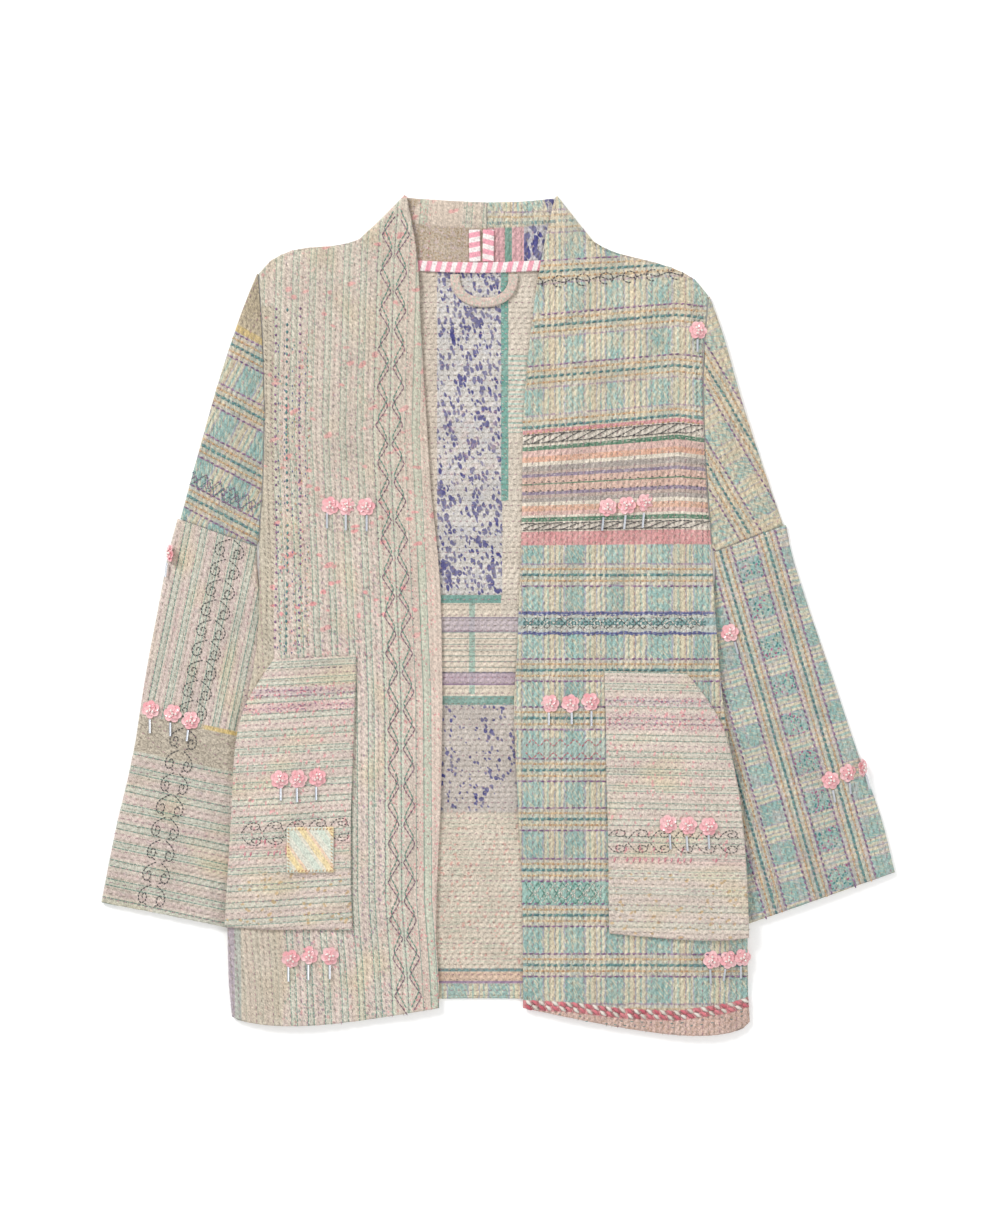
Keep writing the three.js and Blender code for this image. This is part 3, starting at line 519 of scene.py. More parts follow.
def sage_stripes(cloth, u, v, tint, ticked, lined):
    """Pairs of thin green lines, a tint of green between them and of pink between the pairs, and ticks."""
    u = cloth.wobble(u, u, v, 0.6, 34, 1.0)
    colour = cloth.ramp(cloth.maths("ADD", u, SAGE_START), SAGE_REPEAT, [
        (0.0, PALE_GREEN), (5.6, BEIGE), (8.0, BLUSH), (12.6, BEIGE)])
    colour = cloth.mix(tint, BEIGE, colour)
    slanted = cloth.maths("MULTIPLY_ADD", v, 0.35, u)
    for number, tick in enumerate(SAGE_TICKS):
        spots = cloth.spots(slanted, v, tick["wide"], tick["tall"], tick["size"], 31.0 + 3 * number)
        colour = cloth.mix(cloth.both(spots, tick["share"] * ticked), colour, tick["paint"])
    pale = cloth.flecks(u, v, 1.4, 3.2, 0.6, 33.0, 0.08)
    colour = cloth.mix(cloth.both(pale, 0.5), colour, CREAM)
    colour = cloth.mix(cloth.both(cloth.flecks(u, v, 34, 60, 0.52, 35.0, 0.2), 0.35), colour, STRAW)
    line = cloth.ramp(cloth.maths("ADD", u, SAGE_START), SAGE_REPEAT, [
        (0.0, (1, 1, 1, 1)), (0.9, (0, 0, 0, 1)), (5.2, (1, 1, 1, 1)), (6.1, (0, 0, 0, 1))])
    line = cloth.both(line, cloth.dashes(v, 3.6, 0.84))
    return cloth.mix(cloth.both(line, lined), colour, GREEN_THREAD)


def patch(left, right, low, high, paint):
    """A plain patch of a cloth, from its edges in mm; its paint's strength is how dense it is."""
    return {"left": left, "right": right, "low": low, "high": high, "paint": paint}


def bar(low, high, paint):
    return patch(-ALL_WIDE, ALL_WIDE, low, high, paint)


def column(left, right, paint):
    return patch(left, right, -ALL_WIDE, ALL_WIDE, paint)


def zones_over(cloth, colour, x, y, zones):
    """Lays plain strips and patches over a cloth from a table of their edges in mm and their colours."""
    for zone in zones:
        inside = cloth.both(
            cloth.span(x, zone["left"], zone["right"], 0.25), cloth.span(y, zone["low"], zone["high"], 0.25))
        colour = cloth.mix(cloth.both(inside, zone["paint"][3]), colour, zone["paint"][:3] + (1.0,))
    return colour


RIGHT_STRIPS = [
    patch(-ALL_WIDE, -206.5, -120, 284, dye(200, 188, 166, 0.85)),
    patch(-ALL_WIDE, -199, -ALL_WIDE, -284, dye(212, 198, 178, 0.75)),
    patch(-ALL_WIDE, -237, -ALL_WIDE, -284, dye(176, 184, 176, 0.8)),
    patch(-ALL_WIDE, -243, -ALL_WIDE, -284, dye(186, 168, 182, 0.8)),
]
BAND_STRIPES = [
    column(-14.6, 13.8, dye(222, 206, 192, 0.9)),
    column(-14.6, -12.2, dye(205, 213, 192, 0.8)),
    column(-2.6, 2.6, dye(208, 214, 196, 0.7)),
    column(-0.5, 0.5, dye(112, 160, 142, 0.8)),
    column(-15.2, -14.4, dye(98, 148, 134, 0.8)),
    column(13.4, 14.2, dye(98, 148, 134, 0.8)),
    column(14.2, 20.9, dye(224, 206, 192, 1.0)),
    column(20.9, 27.6, dye(208, 211, 192, 1.0)),
    column(20.5, 21.3, dye(98, 148, 134, 0.85)),
    column(27.2, 28.0, dye(98, 148, 134, 0.85)),
    column(28.0, 60.0, dye(226, 206, 192, 1.0)),
]


def tan_lining(cloth, x, y):
    """Mottled tan cloth flecked with ochre, as it lines the collar."""
    colour = cloth.mix(cloth.flecks(x, y, 5, 4, 0.48, 41.0, 0.2), dye(188, 172, 153), dye(202, 182, 177))
    return cloth.mix(cloth.both(cloth.flecks(x, y, 1.6, 1.6, 0.56, 42.0), 0.8), colour, dye(160, 132, 90))


def right_front_cloth():
    cloth = Dyeing("right_front_quilting")
    x, y = cloth.turned(0)
    u, v, lining = cloth.stored("grain")
    colour = sage_stripes(cloth, u, v, tint=0.65, ticked=0.8, lined=0.88)
    colour = zones_over(cloth, colour, x, y, RIGHT_STRIPS)
    colour = zones_over(cloth, colour, u, v, BAND_STRIPES)
    pink_specks = cloth.both(cloth.spots(u, v, 3.4, 4.4, 0.25, 44.0), cloth.span(u, -14, 36, 0.5))
    colour = cloth.mix(cloth.both(pink_specks, 0.6), colour, dye(236, 138, 148))
    pink_dabs = cloth.both(cloth.spots(u, v, 15, 11, 0.2, 45.0), cloth.span(y, -20, 400, 20))
    colour = cloth.mix(cloth.both(pink_dabs, 0.85), colour, dye(244, 146, 154))
    upper = cloth.maths("MULTIPLY_ADD", y, 0.004, 0.35, clamp=True)
    colour = cloth.mix(cloth.both(upper, 0.4), colour, dye(188, 178, 158))
    colour = cloth.mix(lining, colour, tan_lining(cloth, x, y))
    return cloth.finish(colour, wear=0.25, tone=0.975, shade=0.36)


front_right.data.materials.append(right_front_cloth())


# Left front: quilted cotton in teal plaid with cream, yellow and lilac stripes, pieced with a band of
# pink, salmon and grey stripes over the chest. Its half of the collar is cut in one with it, and its
# hem ends in a twisted red and cream braid over a peach border.
FRONT_LEFT_CREASES = table("x y angle length width depth curve", [
    (150, 250, 66, 110, 9, -0.9, -10), (172, 110, 98, 150, 10, 0.9, 8), (90, 30, 92, 200, 15, 0.7, -6),
    (180, 20, 122, 80, 8, -1.0, -6), (60, -190, 91, 240, 12, 0.6, 6), (75, -330, 88, 90, 12, -0.8, 4),
    (130, -335, 96, 90, 13, 1.0, 4), (188, -330, 84, 90, 11, -0.9, 4),
])
LEFT_QUILT = plain_quilt(5.2, 7.4, -1.1, 1.1, 0)
# How far the woven bars rise from the front edge to the armhole, by height.
LEFT_RISE = table("y rise", [(-370, 0.0), (40, 0.0), (70, 1.5), (169, 12.0), (280, 12.0), (330, 7.0)])
# The plaid's repeat is 38 mm across and 46 mm down; these rows tie it to the places of its stripes.
PLAID_ACROSS = 38.0
PLAID_DOWN = 46.0
LEFT_STRIPES = table("x place", [
    (-60, -91), (12, -19), (50.6, 19), (89.2, 57), (124.2, 95), (171.1, 133), (202.4, 171), (245, 214),
])
LEFT_BARS = table("y place", [
    (-400, -377), (-322, -299), (-276, -253), (-234.6, -207), (-187.7, -161), (-142.6, -115),
    (-94.8, -69), (-50.6, -23), (-6.9, 23), (36.8, 69), (126, 161), (172, 207), (217.8, 253),
    (264.3, 299), (314.6, 345), (400, 430),
])
HEM_BRAID = table("x y", [
    (20, -358.8), (64, -360.5), (113, -366.5), (163, -368.6), (212, -361.5), (231, -355.5),
])


def left_rise(x, y):
    share = min(1.0, max(0.0, (x - 24) / 140)) - 0.25 * min(1.0, max(0.0, (x - 165) / 25))
    return along_table(LEFT_RISE, "y", "rise", y) * share


def left_grain(x, y, vertex):
    across = along_table(LEFT_STRIPES, "x", "place", x)
    return (across, along_table(LEFT_BARS, "y", "place", y - left_rise(x, y)), lining_shows(vertex))


def left_lay(x, y, vertex):
    return (x, y - left_rise(x, y), y - along_table(HEM_BRAID, "x", "y", x))


front_left = fine_cloth("front_left_cloth", "front_left", across=1.4, along=1.8)
keep_place(front_left, "grain", left_grain)
keep_place(front_left, "lay", left_lay)
relief(front_left, FRONT_LEFT_CREASES, LEFT_QUILT)
TEAL = dye(152, 190, 184)
PALE_TEAL = dye(178, 200, 190)
CLEAR = (0.0, 0.0, 0.0, 0.0)
SOFT_STRIPES = [
    (0.0, CLEAR), (8.6, dye(184, 164, 190, 0.6)), (10.0, dye(228, 218, 190, 0.85)),
    (12.8, dye(196, 208, 186, 0.5)), (14.6, dye(230, 216, 184, 0.85)), (17.6, dye(232, 200, 166, 0.75)),
    (19.2, dye(186, 168, 190, 0.6)), (20.4, dye(230, 218, 188, 0.85)), (23.2, dye(190, 208, 194, 0.4)),
    (25.0, dye(228, 218, 190, 0.85)), (27.6, dye(184, 164, 190, 0.6)), (29.0, CLEAR)]
STRONG_BARS = [
    (0.0, CLEAR), (11.7, dye(164, 122, 164, 0.7)), (13.3, dye(218, 204, 192, 0.65)),
    (16.4, dye(214, 170, 120, 0.75)), (18.4, dye(222, 210, 188, 0.6)), (21.4, dye(92, 142, 148, 0.75)),
    (24.4, dye(222, 210, 188, 0.6)), (27.6, dye(214, 170, 120, 0.75)), (29.6, dye(218, 204, 192, 0.65)),
    (32.5, dye(164, 122, 164, 0.7)), (34.1, CLEAR)]


def plaid(cloth, u, v, down, over, warmth=0.0):
    """Teal cloth with a group of stripes each way in every repeat, and pale slanted ripples."""
    u = cloth.wobble(u, u, v, 1.5, 9, 3.0)
    v = cloth.wobble(v, u, v, 1.3, 9, 4.0)
    blocks = cloth.flecks(u, v, 20, 24, 0.45, 51.0, 0.25)
    colour = cloth.mix(cloth.both(blocks, 0.5), TEAL, PALE_TEAL)
    colour = cloth.stripes_over(colour, u, PLAID_ACROSS, down)
    colour = cloth.stripes_over(colour, v, PLAID_DOWN, over, 0.9)
    streaks = cloth.flecks(cloth.maths("MULTIPLY_ADD", v, 0.45, u), v, 1.6, 8.0, 0.53, 52.0, 0.06)
    colour = cloth.mix(cloth.both(streaks, 0.55 + 0.4 * warmth), colour, dye(228, 216, 186))
    if warmth:
        warm_patch = cloth.flecks(u, v, 10, 16, 0.6 - 0.3 * warmth, 53.0, 0.25)
        colour = cloth.mix(cloth.both(warm_patch, warmth), colour, dye(230, 208, 172))
    return colour


CHEST_LOW = 64.0
CHEST_HIGH = 169.5
CHEST_WIDE = 106.0
CHEST_STRIPES = [
    (0.0, dye(222, 156, 156)), (12.2, CREAM), (13.4, dye(230, 220, 206)), (20.4, CREAM),
    (21.2, dye(88, 134, 108)), (24.9, CREAM), (27.0, dye(228, 188, 178)), (31.0, dye(232, 184, 158)),
    (36.0, CREAM), (39.0, dye(176, 166, 160)), (43.0, dye(196, 174, 164)), (45.6, dye(152, 136, 158)),
    (48.6, dye(222, 186, 170)), (54.9, dye(104, 136, 110)), (55.9, dye(222, 186, 170)),
    (61.8, dye(152, 136, 158)), (64.8, dye(196, 174, 164)), (67.4, dye(176, 166, 160)), (72.4, CREAM),
    (75.4, dye(232, 180, 154)), (80.5, dye(230, 192, 182)), (86.4, dye(88, 134, 108)), (90.2, CREAM),
    (92.6, dye(230, 220, 206)), (101.0, CREAM), (101.6, dye(224, 156, 158))]
LEFT_ZONES = [
    bar(-17.5, 2.3, dye(200, 208, 204, 0.75)),
    bar(0.8, 2.6, dye(82, 92, 160, 0.85)),
    bar(-17.8, -16.0, dye(82, 92, 160, 0.85)),
    bar(-9.5, -2.5, dye(128, 176, 178, 0.6)),
    patch(20, 100, -267, -245, dye(150, 196, 186, 0.85)),
    patch(20, 100, -134, -113, dye(170, 196, 190, 0.6)),
]
COLLAR_LINING_ZONES = [
    patch(-20, 5.5, 300, 400, dye(220, 170, 174, 1.0)),
    patch(5.5, 12, 300, 400, dye(96, 160, 142, 0.9)),
    patch(12, 23, 300, 400, dye(222, 174, 177, 1.0)),
    patch(23, 60, 300, 400, dye(200, 196, 200, 1.0)),
]


def indigo_dabs(cloth, colour, x, y, wide, tall, size, seed):
    """Dabs of indigo print, slanted as brush marks, faded here and there."""
    slanted = cloth.maths("MULTIPLY_ADD", y, 0.25, x)
    thinned = cloth.maths("MULTIPLY_ADD", cloth.cloud(x, y, 20, 26, 3.0, seed + 1), 0.9, size - 0.45)
    dabs = cloth.spots(slanted, y, wide, tall, thinned, seed)
    faded = cloth.maths("MULTIPLY_ADD", cloth.cloud(x, y, 12, 16, 2.0, seed + 2), 1.2, 0.3, clamp=True)
    return cloth.mix(cloth.both(dabs, faded), colour, dye(66, 66, 136))


BORDER_START = 3.5
BRAID_HALF = 4.6


def left_front_cloth():
    cloth = Dyeing("left_front_quilting")
    u, v, lining = cloth.stored("grain")
    x, y, above_braid = cloth.stored("lay")
    colour = plaid(cloth, u, v, SOFT_STRIPES, STRONG_BARS, 0.25)
    warm = cloth.both(cloth.span(y, 169, 900, 20), cloth.flecks(x, y, 3.2, 14, 0.45, 54.0, 0.2))
    colour = cloth.mix(cloth.both(warm, 0.55), colour, dye(230, 212, 180))
    colour = zones_over(cloth, colour, x, y, LEFT_ZONES)
    above_low_edge = cloth.maths("SUBTRACT", cloth.wobble(y, x, y, 0.35, 9, 6.0), CHEST_LOW)
    band = cloth.ramp(above_low_edge, CHEST_WIDE, CHEST_STRIPES)
    band_flecks = cloth.flecks(x, y, 2.6, 1.2, 0.58, 55.0, 0.05)
    band = cloth.mix(cloth.both(band_flecks, 0.4), band, CREAM)
    colour = cloth.mix(cloth.span(y, CHEST_LOW, CHEST_HIGH, 0.2), colour, band)
    border = cloth.maths("LESS_THAN", above_braid, -BORDER_START)
    border_flecks = cloth.flecks(x, y, 3.0, 1.6, 0.56, 56.0, 0.04)
    border_cloth = cloth.mix(border_flecks, dye(222, 190, 178), dye(206, 170, 150))
    colour = cloth.mix(border, colour, border_cloth)
    colour = cloth.mix(cloth.span(above_braid, -BRAID_HALF, BRAID_HALF, 0.4), colour, dye(222, 142, 146))
    plain_lining = zones_over(cloth, dye(222, 160, 166), x, y, COLLAR_LINING_ZONES)
    print_side = cloth.maths("GREATER_THAN", x, 23.0)
    printed = indigo_dabs(cloth, plain_lining, x, y, 5.0, 8.0, 0.52, 57.0)
    plain_lining = cloth.mix(print_side, plain_lining, printed)
    colour = cloth.mix(lining, colour, plain_lining)
    return cloth.finish(colour, wear=0.2, tone=0.935, shade=0.52)


front_left.data.materials.append(left_front_cloth())


# Back: one panel under the fronts. Its inner side shows in the opening: a faded lavender print with
# indigo dabs, cream and teal strips and a striped hem. It lies flat on its own right side.
BACK_QUILT = plain_quilt(4.8, 6.4, 0.7, 0.6, 90)
back = fine_cloth("back_cloth", "back", across=1.5, along=1.8, shows=(-80, 36))
relief(back, [], BACK_QUILT, swell=0.3, settle=1)
BACK_ZONES = [
    patch(-ALL_WIDE, -57, 18.4, 400, dye(214, 200, 184, 1.0)),
    patch(3, ALL_WIDE, 18.4, 400, dye(224, 212, 196, 1.0)),
    patch(2, 8.6, 105, 400, dye(96, 164, 152, 0.9)),
    bar(11, 18.4, dye(118, 168, 158, 0.95)),
    patch(2, ALL_WIDE, -2, 20, dye(224, 212, 196, 1.0)),
    patch(-27.5, -22, -73, 11, dye(150, 190, 176, 0.8)),
    bar(-15.6, -1.8, dye(188, 174, 184, 0.85)),
    bar(-3.2, -1.8, dye(128, 116, 136, 0.8)),
    bar(-15.8, -14.4, dye(128, 116, 136, 0.8)),
    bar(-64.4, -52.4, dye(190, 168, 184, 0.85)),
    bar(-53.8, -52.4, dye(110, 110, 128, 0.8)),
    bar(-64.6, -63.2, dye(128, 100, 136, 0.8)),
    bar(-82.8, -74.6, dye(118, 164, 154, 0.95)),
    bar(-182, -82.8, dye(204, 194, 186, 1.0)),
    bar(-328.5, -325.5, dye(90, 138, 142, 0.9)),
    bar(-337, -328.5, dye(222, 190, 166, 0.9)),
    bar(-339.5, -337, dye(140, 106, 150, 0.85)),
]


def inside_print_cloth():
    cloth = Dyeing("inside_print_quilting")
    x, y = cloth.turned(0)
    lavender = cloth.mix(cloth.flecks(x, y, 10, 14, 0.5, 61.0, 0.3), dye(213, 208, 203), dye(199, 198, 203))
    dabbed = indigo_dabs(cloth, lavender, x, y, 3.5, 6.2, 0.42, 62.0)
    blush_wear = cloth.both(cloth.flecks(x, y, 9, 7, 0.52, 68.0, 0.15), cloth.span(y, 120, 190, 12))
    dabbed = cloth.mix(cloth.both(blush_wear, 0.3), dabbed, dye(226, 190, 184))
    colour = cloth.mix(cloth.span(y, 18.4, 500, 0.2), dye(226, 212, 194), dabbed)
    colour = zones_over(cloth, colour, cloth.wobble(x, x, y, 0.9, 9, 69.0), y, BACK_ZONES)
    grey_line = cloth.maths("LESS_THAN", cloth.maths("FRACT", cloth.maths("DIVIDE", y, -5.3)), 0.17)
    grey_line = cloth.both(grey_line, cloth.span(y, -52.4, -15.6, 0.2))
    colour = cloth.mix(cloth.both(grey_line, 0.75), colour, dye(120, 146, 138))
    pale_line = cloth.maths("LESS_THAN", cloth.maths("FRACT", cloth.maths("DIVIDE", y, 4.4)), 0.4)
    pale_line = cloth.both(pale_line, cloth.both(cloth.span(y, 168, 240, 0.4), cloth.span(x, 8.6, 90, 0.3)))
    colour = cloth.mix(cloth.both(pale_line, 0.7), colour, dye(158, 200, 188))
    low_print = indigo_dabs(cloth, colour, x, y, 4.4, 5.4, 0.3, 64.0)
    colour = cloth.mix(cloth.span(y, -180, -83, 1.0), colour, low_print)
    rosy = cloth.both(cloth.spots(x, y, 4.4, 5.6, 0.26, 66.0), cloth.span(y, -325, -180, 6))
    colour = cloth.mix(cloth.both(rosy, 0.6), colour, dye(226, 150, 140))
    green = cloth.both(cloth.flecks(x, y, 16, 1.6, 0.56, 67.0), cloth.span(y, -325, -180, 6))
    colour = cloth.mix(cloth.both(green, 0.35), colour, dye(168, 196, 172))
    hem = plaid(cloth, x, y, SOFT_STRIPES, [(0.0, CLEAR), (30.0, CLEAR)])
    colour = cloth.mix(cloth.span(y, -400, -339.5, 0.3), colour, hem)
    return cloth.finish(colour, wear=0.25, tone=0.945)


back.data.materials.append(inside_print_cloth())


# Sleeves: each is two lengths of quilted cloth, folded to tubes and joined by a cross seam. They lie
# flat, partly under the body's sides. The right one is plaid above the seam and striped below it, with
# a mottled band across its stripes; the left one is plaid all down, its rows running with the sleeve.
RIGHT_UPPER_TURN = -28.0
RIGHT_LOWER_TURN = -12.0
LEFT_UPPER_TURN = 31.0
LEFT_LOWER_TURN = 16.2
MOTTLED_LOW = -192.0
MOTTLED_HIGH = -158.0
SLEEVE_QUILTS = {
    "sleeve_right_upper": plain_quilt(5.4, 7.0, 0.8, 0.85, RIGHT_UPPER_TURN),
    "sleeve_right_lower": {
        "row": 5.0, "wave": 6.6, "slant": 1.0, "height": 0.8, "cut": RIGHT_LOWER_TURN, "line": None,
        "sections": table("low high turn", [
            (MOTTLED_HIGH, 500, RIGHT_LOWER_TURN),
            (MOTTLED_LOW, MOTTLED_HIGH, RIGHT_LOWER_TURN + 60),
            (-700, MOTTLED_LOW, RIGHT_LOWER_TURN + 90),
        ])},
    "sleeve_left_upper": plain_quilt(5.6, 8.0, -0.9, 1.0, LEFT_UPPER_TURN - 6),
    "sleeve_left_lower": plain_quilt(5.2, 7.0, -0.9, 0.85, LEFT_LOWER_TURN),
}
SLEEVE_CREASES = {
    "sleeve_right_upper": table("x y angle length width depth curve", [(-246, 180, 72, 120, 8, 0.7, 5)]),
    "sleeve_right_lower": table("x y angle length width depth curve", [
        (-300, -133, -12, 80, 4, 0.9, 4), (-280, -40, 76, 170, 12, 0.8, 8),
        (-310, -230, 70, 150, 14, -0.7, -6),
    ]),
    "sleeve_left_upper": table("x y angle length width depth curve", [
        (222, 150, -62, 130, 8, 0.8, 6), (250, 90, 40, 60, 6, -0.7, 4),
    ]),
    "sleeve_left_lower": table("x y angle length width depth curve", [
        (250, 0, -66, 130, 10, 0.8, 6), (300, -180, -72, 170, 14, -0.8, -8),
        (240, -210, -74, 120, 10, 0.7, 5),
    ]),
}
FAINT_BARS = [
    (0.0, CLEAR), (9.6, dye(180, 164, 192, 0.7)), (10.8, dye(228, 218, 192, 0.9)),
    (13.4, dye(182, 204, 192, 0.5)), (15.8, dye(230, 218, 190, 0.95)), (18.2, dye(184, 166, 192, 0.6)),
    (19.4, dye(226, 216, 190, 0.85)), (22.0, dye(182, 204, 192, 0.5)), (24.2, dye(230, 218, 190, 0.9)),
    (26.2, dye(180, 164, 192, 0.7)), (27.4, CLEAR)]


def upper_right_grain(x, y, vertex):
    u, v = turned(x, y, RIGHT_UPPER_TURN)
    return (u, (v - 104.7) * PLAID_DOWN / 47.4 + PLAID_DOWN / 2, 0.0)


def lower_right_grain(x, y, vertex):
    u, v = turned(x, y, RIGHT_LOWER_TURN)
    along = v > (MOTTLED_LOW + MOTTLED_HIGH) / 2
    return (u + 4, v, v) if along else ((v + 4) * 15.6 / 17.5, u, v)


def upper_left_grain(x, y, vertex):
    u, v = turned(x, y, LEFT_UPPER_TURN)
    return (v, (u - 281.4) * PLAID_DOWN / 45.5 + PLAID_DOWN / 2, 0.0)


def lower_left_grain(x, y, vertex):
    u, v = turned(x, y, LEFT_LOWER_TURN)
    return ((v + 134) * PLAID_ACROSS / 37, (u - 212) * PLAID_DOWN / 43.5 + PLAID_DOWN / 2, u)


def upper_right_cloth():
    cloth = Dyeing("right_upper_sleeve_quilting")
    u, v, _ = cloth.stored("grain")
    x, y = cloth.turned(0)
    colour = plaid(cloth, u, v, SOFT_STRIPES, STRONG_BARS, 0.1)
    mottled = cloth.mix(cloth.flecks(x, y, 2.2, 3.0, 0.5, 71.0, 0.1), dye(206, 190, 160), dye(176, 160, 138))
    low_edge = cloth.maths("MULTIPLY_ADD", x, 0.55, y)
    colour = cloth.mix(cloth.span(low_edge, 128, 500, 0.6), colour, mottled)
    edge = cloth.span(low_edge, 128, 135, 0.6)
    return cloth.finish(cloth.mix(edge, colour, dye(216, 190, 132)), wear=0.15, tone=0.8)


def lower_right_cloth():
    cloth = Dyeing("right_lower_sleeve_quilting")
    u, v, height = cloth.stored("grain")
    x, y = cloth.turned(0)
    colour = sage_stripes(cloth, u, v, tint=0.8, ticked=0.25, lined=0.85)
    mottled = cloth.mix(cloth.flecks(x, y, 2.0, 1.6, 0.5, 72.0, 0.08), dye(209, 197, 177), dye(177, 165, 149))
    colour = cloth.mix(cloth.span(height, MOTTLED_LOW, MOTTLED_HIGH, 0.5), colour, mottled)
    mustard = cloth.span(height, MOTTLED_HIGH - 1, MOTTLED_HIGH + 3, 0.5)
    mustard = cloth.both(mustard, cloth.span(x, -272, 0, 3))
    return cloth.finish(cloth.mix(mustard, colour, dye(224, 196, 128)), wear=0.25, tone=0.865)


def upper_left_cloth():
    cloth = Dyeing("left_upper_sleeve_quilting")
    u, v, _ = cloth.stored("grain")
    colour = plaid(cloth, u, v, SOFT_STRIPES, STRONG_BARS, 0.5)
    x, y = cloth.turned(-14)
    yellow_ripples = cloth.flecks(x, y, 9, 2.2, 0.48, 73.0, 0.08)
    colour = cloth.mix(cloth.both(yellow_ripples, 0.55), colour, dye(230, 212, 182))
    return cloth.finish(colour, wear=0.15, tone=0.88)


def lower_left_cloth():
    cloth = Dyeing("left_lower_sleeve_quilting")
    u, v, across = cloth.stored("grain")
    colour = plaid(cloth, u, v, FAINT_BARS, STRONG_BARS)
    repeat = cloth.both(cloth.maths("FRACT", cloth.maths("DIVIDE", u, PLAID_ACROSS)), PLAID_ACROSS)
    between_bars = cloth.maths("SUBTRACT", 1.0, cloth.both(cloth.span(repeat, 11, 26, 1.2), 0.85))
    middle = cloth.both(cloth.span(across, 222, 244, 0.6), between_bars)
    greyed = cloth.flecks(u, v, 14, 9, 0.5, 76.0, 0.15)
    colour = cloth.mix(cloth.both(greyed, 0.4), colour, dye(204, 190, 196))
    specks = cloth.both(cloth.spots(u, v, 3.6, 4.0, 0.26, 74.0), middle)
    colour = cloth.mix(specks, colour, dye(188, 92, 142))
    specks = cloth.both(cloth.spots(u, v, 3.8, 3.6, 0.28, 75.0), middle)
    colour = cloth.mix(specks, colour, dye(64, 138, 138))
    return cloth.finish(colour, wear=0.15, tone=0.9)


SLEEVES = table("name grain dyeing flat area slot", [
    ("sleeve_right_upper", upper_right_grain, upper_right_cloth, (0.15, 0.26), 0.0219, "teal_plaid"),
    ("sleeve_right_lower", lower_right_grain, lower_right_cloth, (0.30, 0.40), 0.086, "sage_stripe"),
    ("sleeve_left_upper", upper_left_grain, upper_left_cloth, (0.13, 0.24), 0.0175, "teal_plaid"),
    ("sleeve_left_lower", lower_left_grain, lower_left_cloth, (0.31, 0.40), 0.0887, "teal_plaid"),
])
sleeves = {}
for row in SLEEVES:
    name = row["name"]
    sleeve = fine_cloth(name + "_cloth", name, across=1.7, along=1.8)
    keep_place(sleeve, "grain", row["grain"])
    relief(sleeve, SLEEVE_CREASES[name], SLEEVE_QUILTS[name])
    sleeve.data.materials.append(row["dyeing"]())
    sleeves[name] = sleeve


# Patch pockets: the fronts' striped cloth turned so that its stripes lie level, each cut with a
# slanted opening, sewn on over the front and caught in the side seam.
POCKETS = {
    "right": {"middle": -186.0, "tilt": 3.2, "shift": 2.0},
    "left": {"middle": 160.0, "tilt": -1.0, "shift": 8.0},
}
POCKET_ZONES = {
    "right": [
        bar(-75, -66, dye(196, 172, 184, 0.35)),
        bar(-88, -80, dye(228, 180, 184, 0.4)),
        bar(-216, -209, dye(230, 180, 180, 0.3)),
    ],
    "left": [
        bar(-84, -77, dye(200, 174, 186, 0.35)),
        bar(-104, -92, dye(220, 184, 188, 0.4)),
        bar(-229, -223, dye(232, 178, 180, 0.3)),
    ],
}


# The heights between which small pink and purple stitches crowd in rows.
POCKET_ROWS = {
    "right": ((-90, -79), (-76, -65)),
    "left": ((-106, -92), (-85, -76)),
}


def pocket_cloth(side):
    cloth = Dyeing(side + "_pocket_quilting")
    u, v, height = cloth.stored("grain")
    x, y = cloth.turned(0)
    low_fade = cloth.maths("MULTIPLY_ADD", height, 0.012, 3.3, clamp=True)
    lined = cloth.maths("MULTIPLY_ADD", low_fade, 0.4, 0.3) if side == "left" else 0.7
    striped = sage_stripes(cloth, u, v, tint=0.65 if side == "right" else 0.4, ticked=0.22, lined=lined)
    colour = zones_over(cloth, striped, x, height, POCKET_ZONES[side])
    for low, high in POCKET_ROWS[side]:
        for paint, seed in ((dye(226, 104, 128), 83.0), (dye(150, 92, 142), 84.0)):
            ticks = cloth.spots(cloth.maths("MULTIPLY_ADD", height, 0.6, x), height, 3.2, 3.0, 0.25, seed)
            crowded = cloth.both(cloth.span(height, low, high, 0.5), 0.75)
            colour = cloth.mix(cloth.both(ticks, crowded), colour, paint)
    dabs = cloth.both(cloth.spots(x, height, 4.6, 7.6, 0.22, 81.0), cloth.span(height, -230, -60, 2))
    colour = cloth.mix(cloth.both(dabs, 0.6), colour, dye(238, 140, 152))
    brown = cloth.both(cloth.spots(x, height, 7.0, 6.0, 0.24, 82.0), cloth.span(height, -330, -235, 4))
    colour = cloth.mix(cloth.both(brown, 0.7), colour, dye(208, 170, 112))
    return cloth.finish(colour, wear=0.2, tone=0.955, shade=0.34)


pockets = {}
for side, facts in POCKETS.items():
    slope = math.tan(math.radians(facts["tilt"]))

    def pocket_grain(x, y, vertex, slope=slope, facts=facts):
        level = y - (x - facts["middle"]) * slope
        return (level + facts["shift"], x, level)

    quilt = plain_quilt(4.9, 6.6, 0.9, 0.46, 90 + facts["tilt"])
    pocket = fine_cloth("pocket_" + side + "_cloth", "pocket_" + side, across=1.8, along=1.5)
    keep_place(pocket, "grain", pocket_grain)
    relief(pocket, [], quilt)
    pocket.data.materials.append(pocket_cloth(side))
    pockets[side] = {"piece": pocket, "quilt": quilt}


# Mend: a square of pale teal cloth with faded yellow and peach bands, laid over a worn place of the
# right pocket and oversewn round its edge.
mend = fine_cloth("pocket_mend_cloth", "pocket_mend", across=1.2, along=1.2)


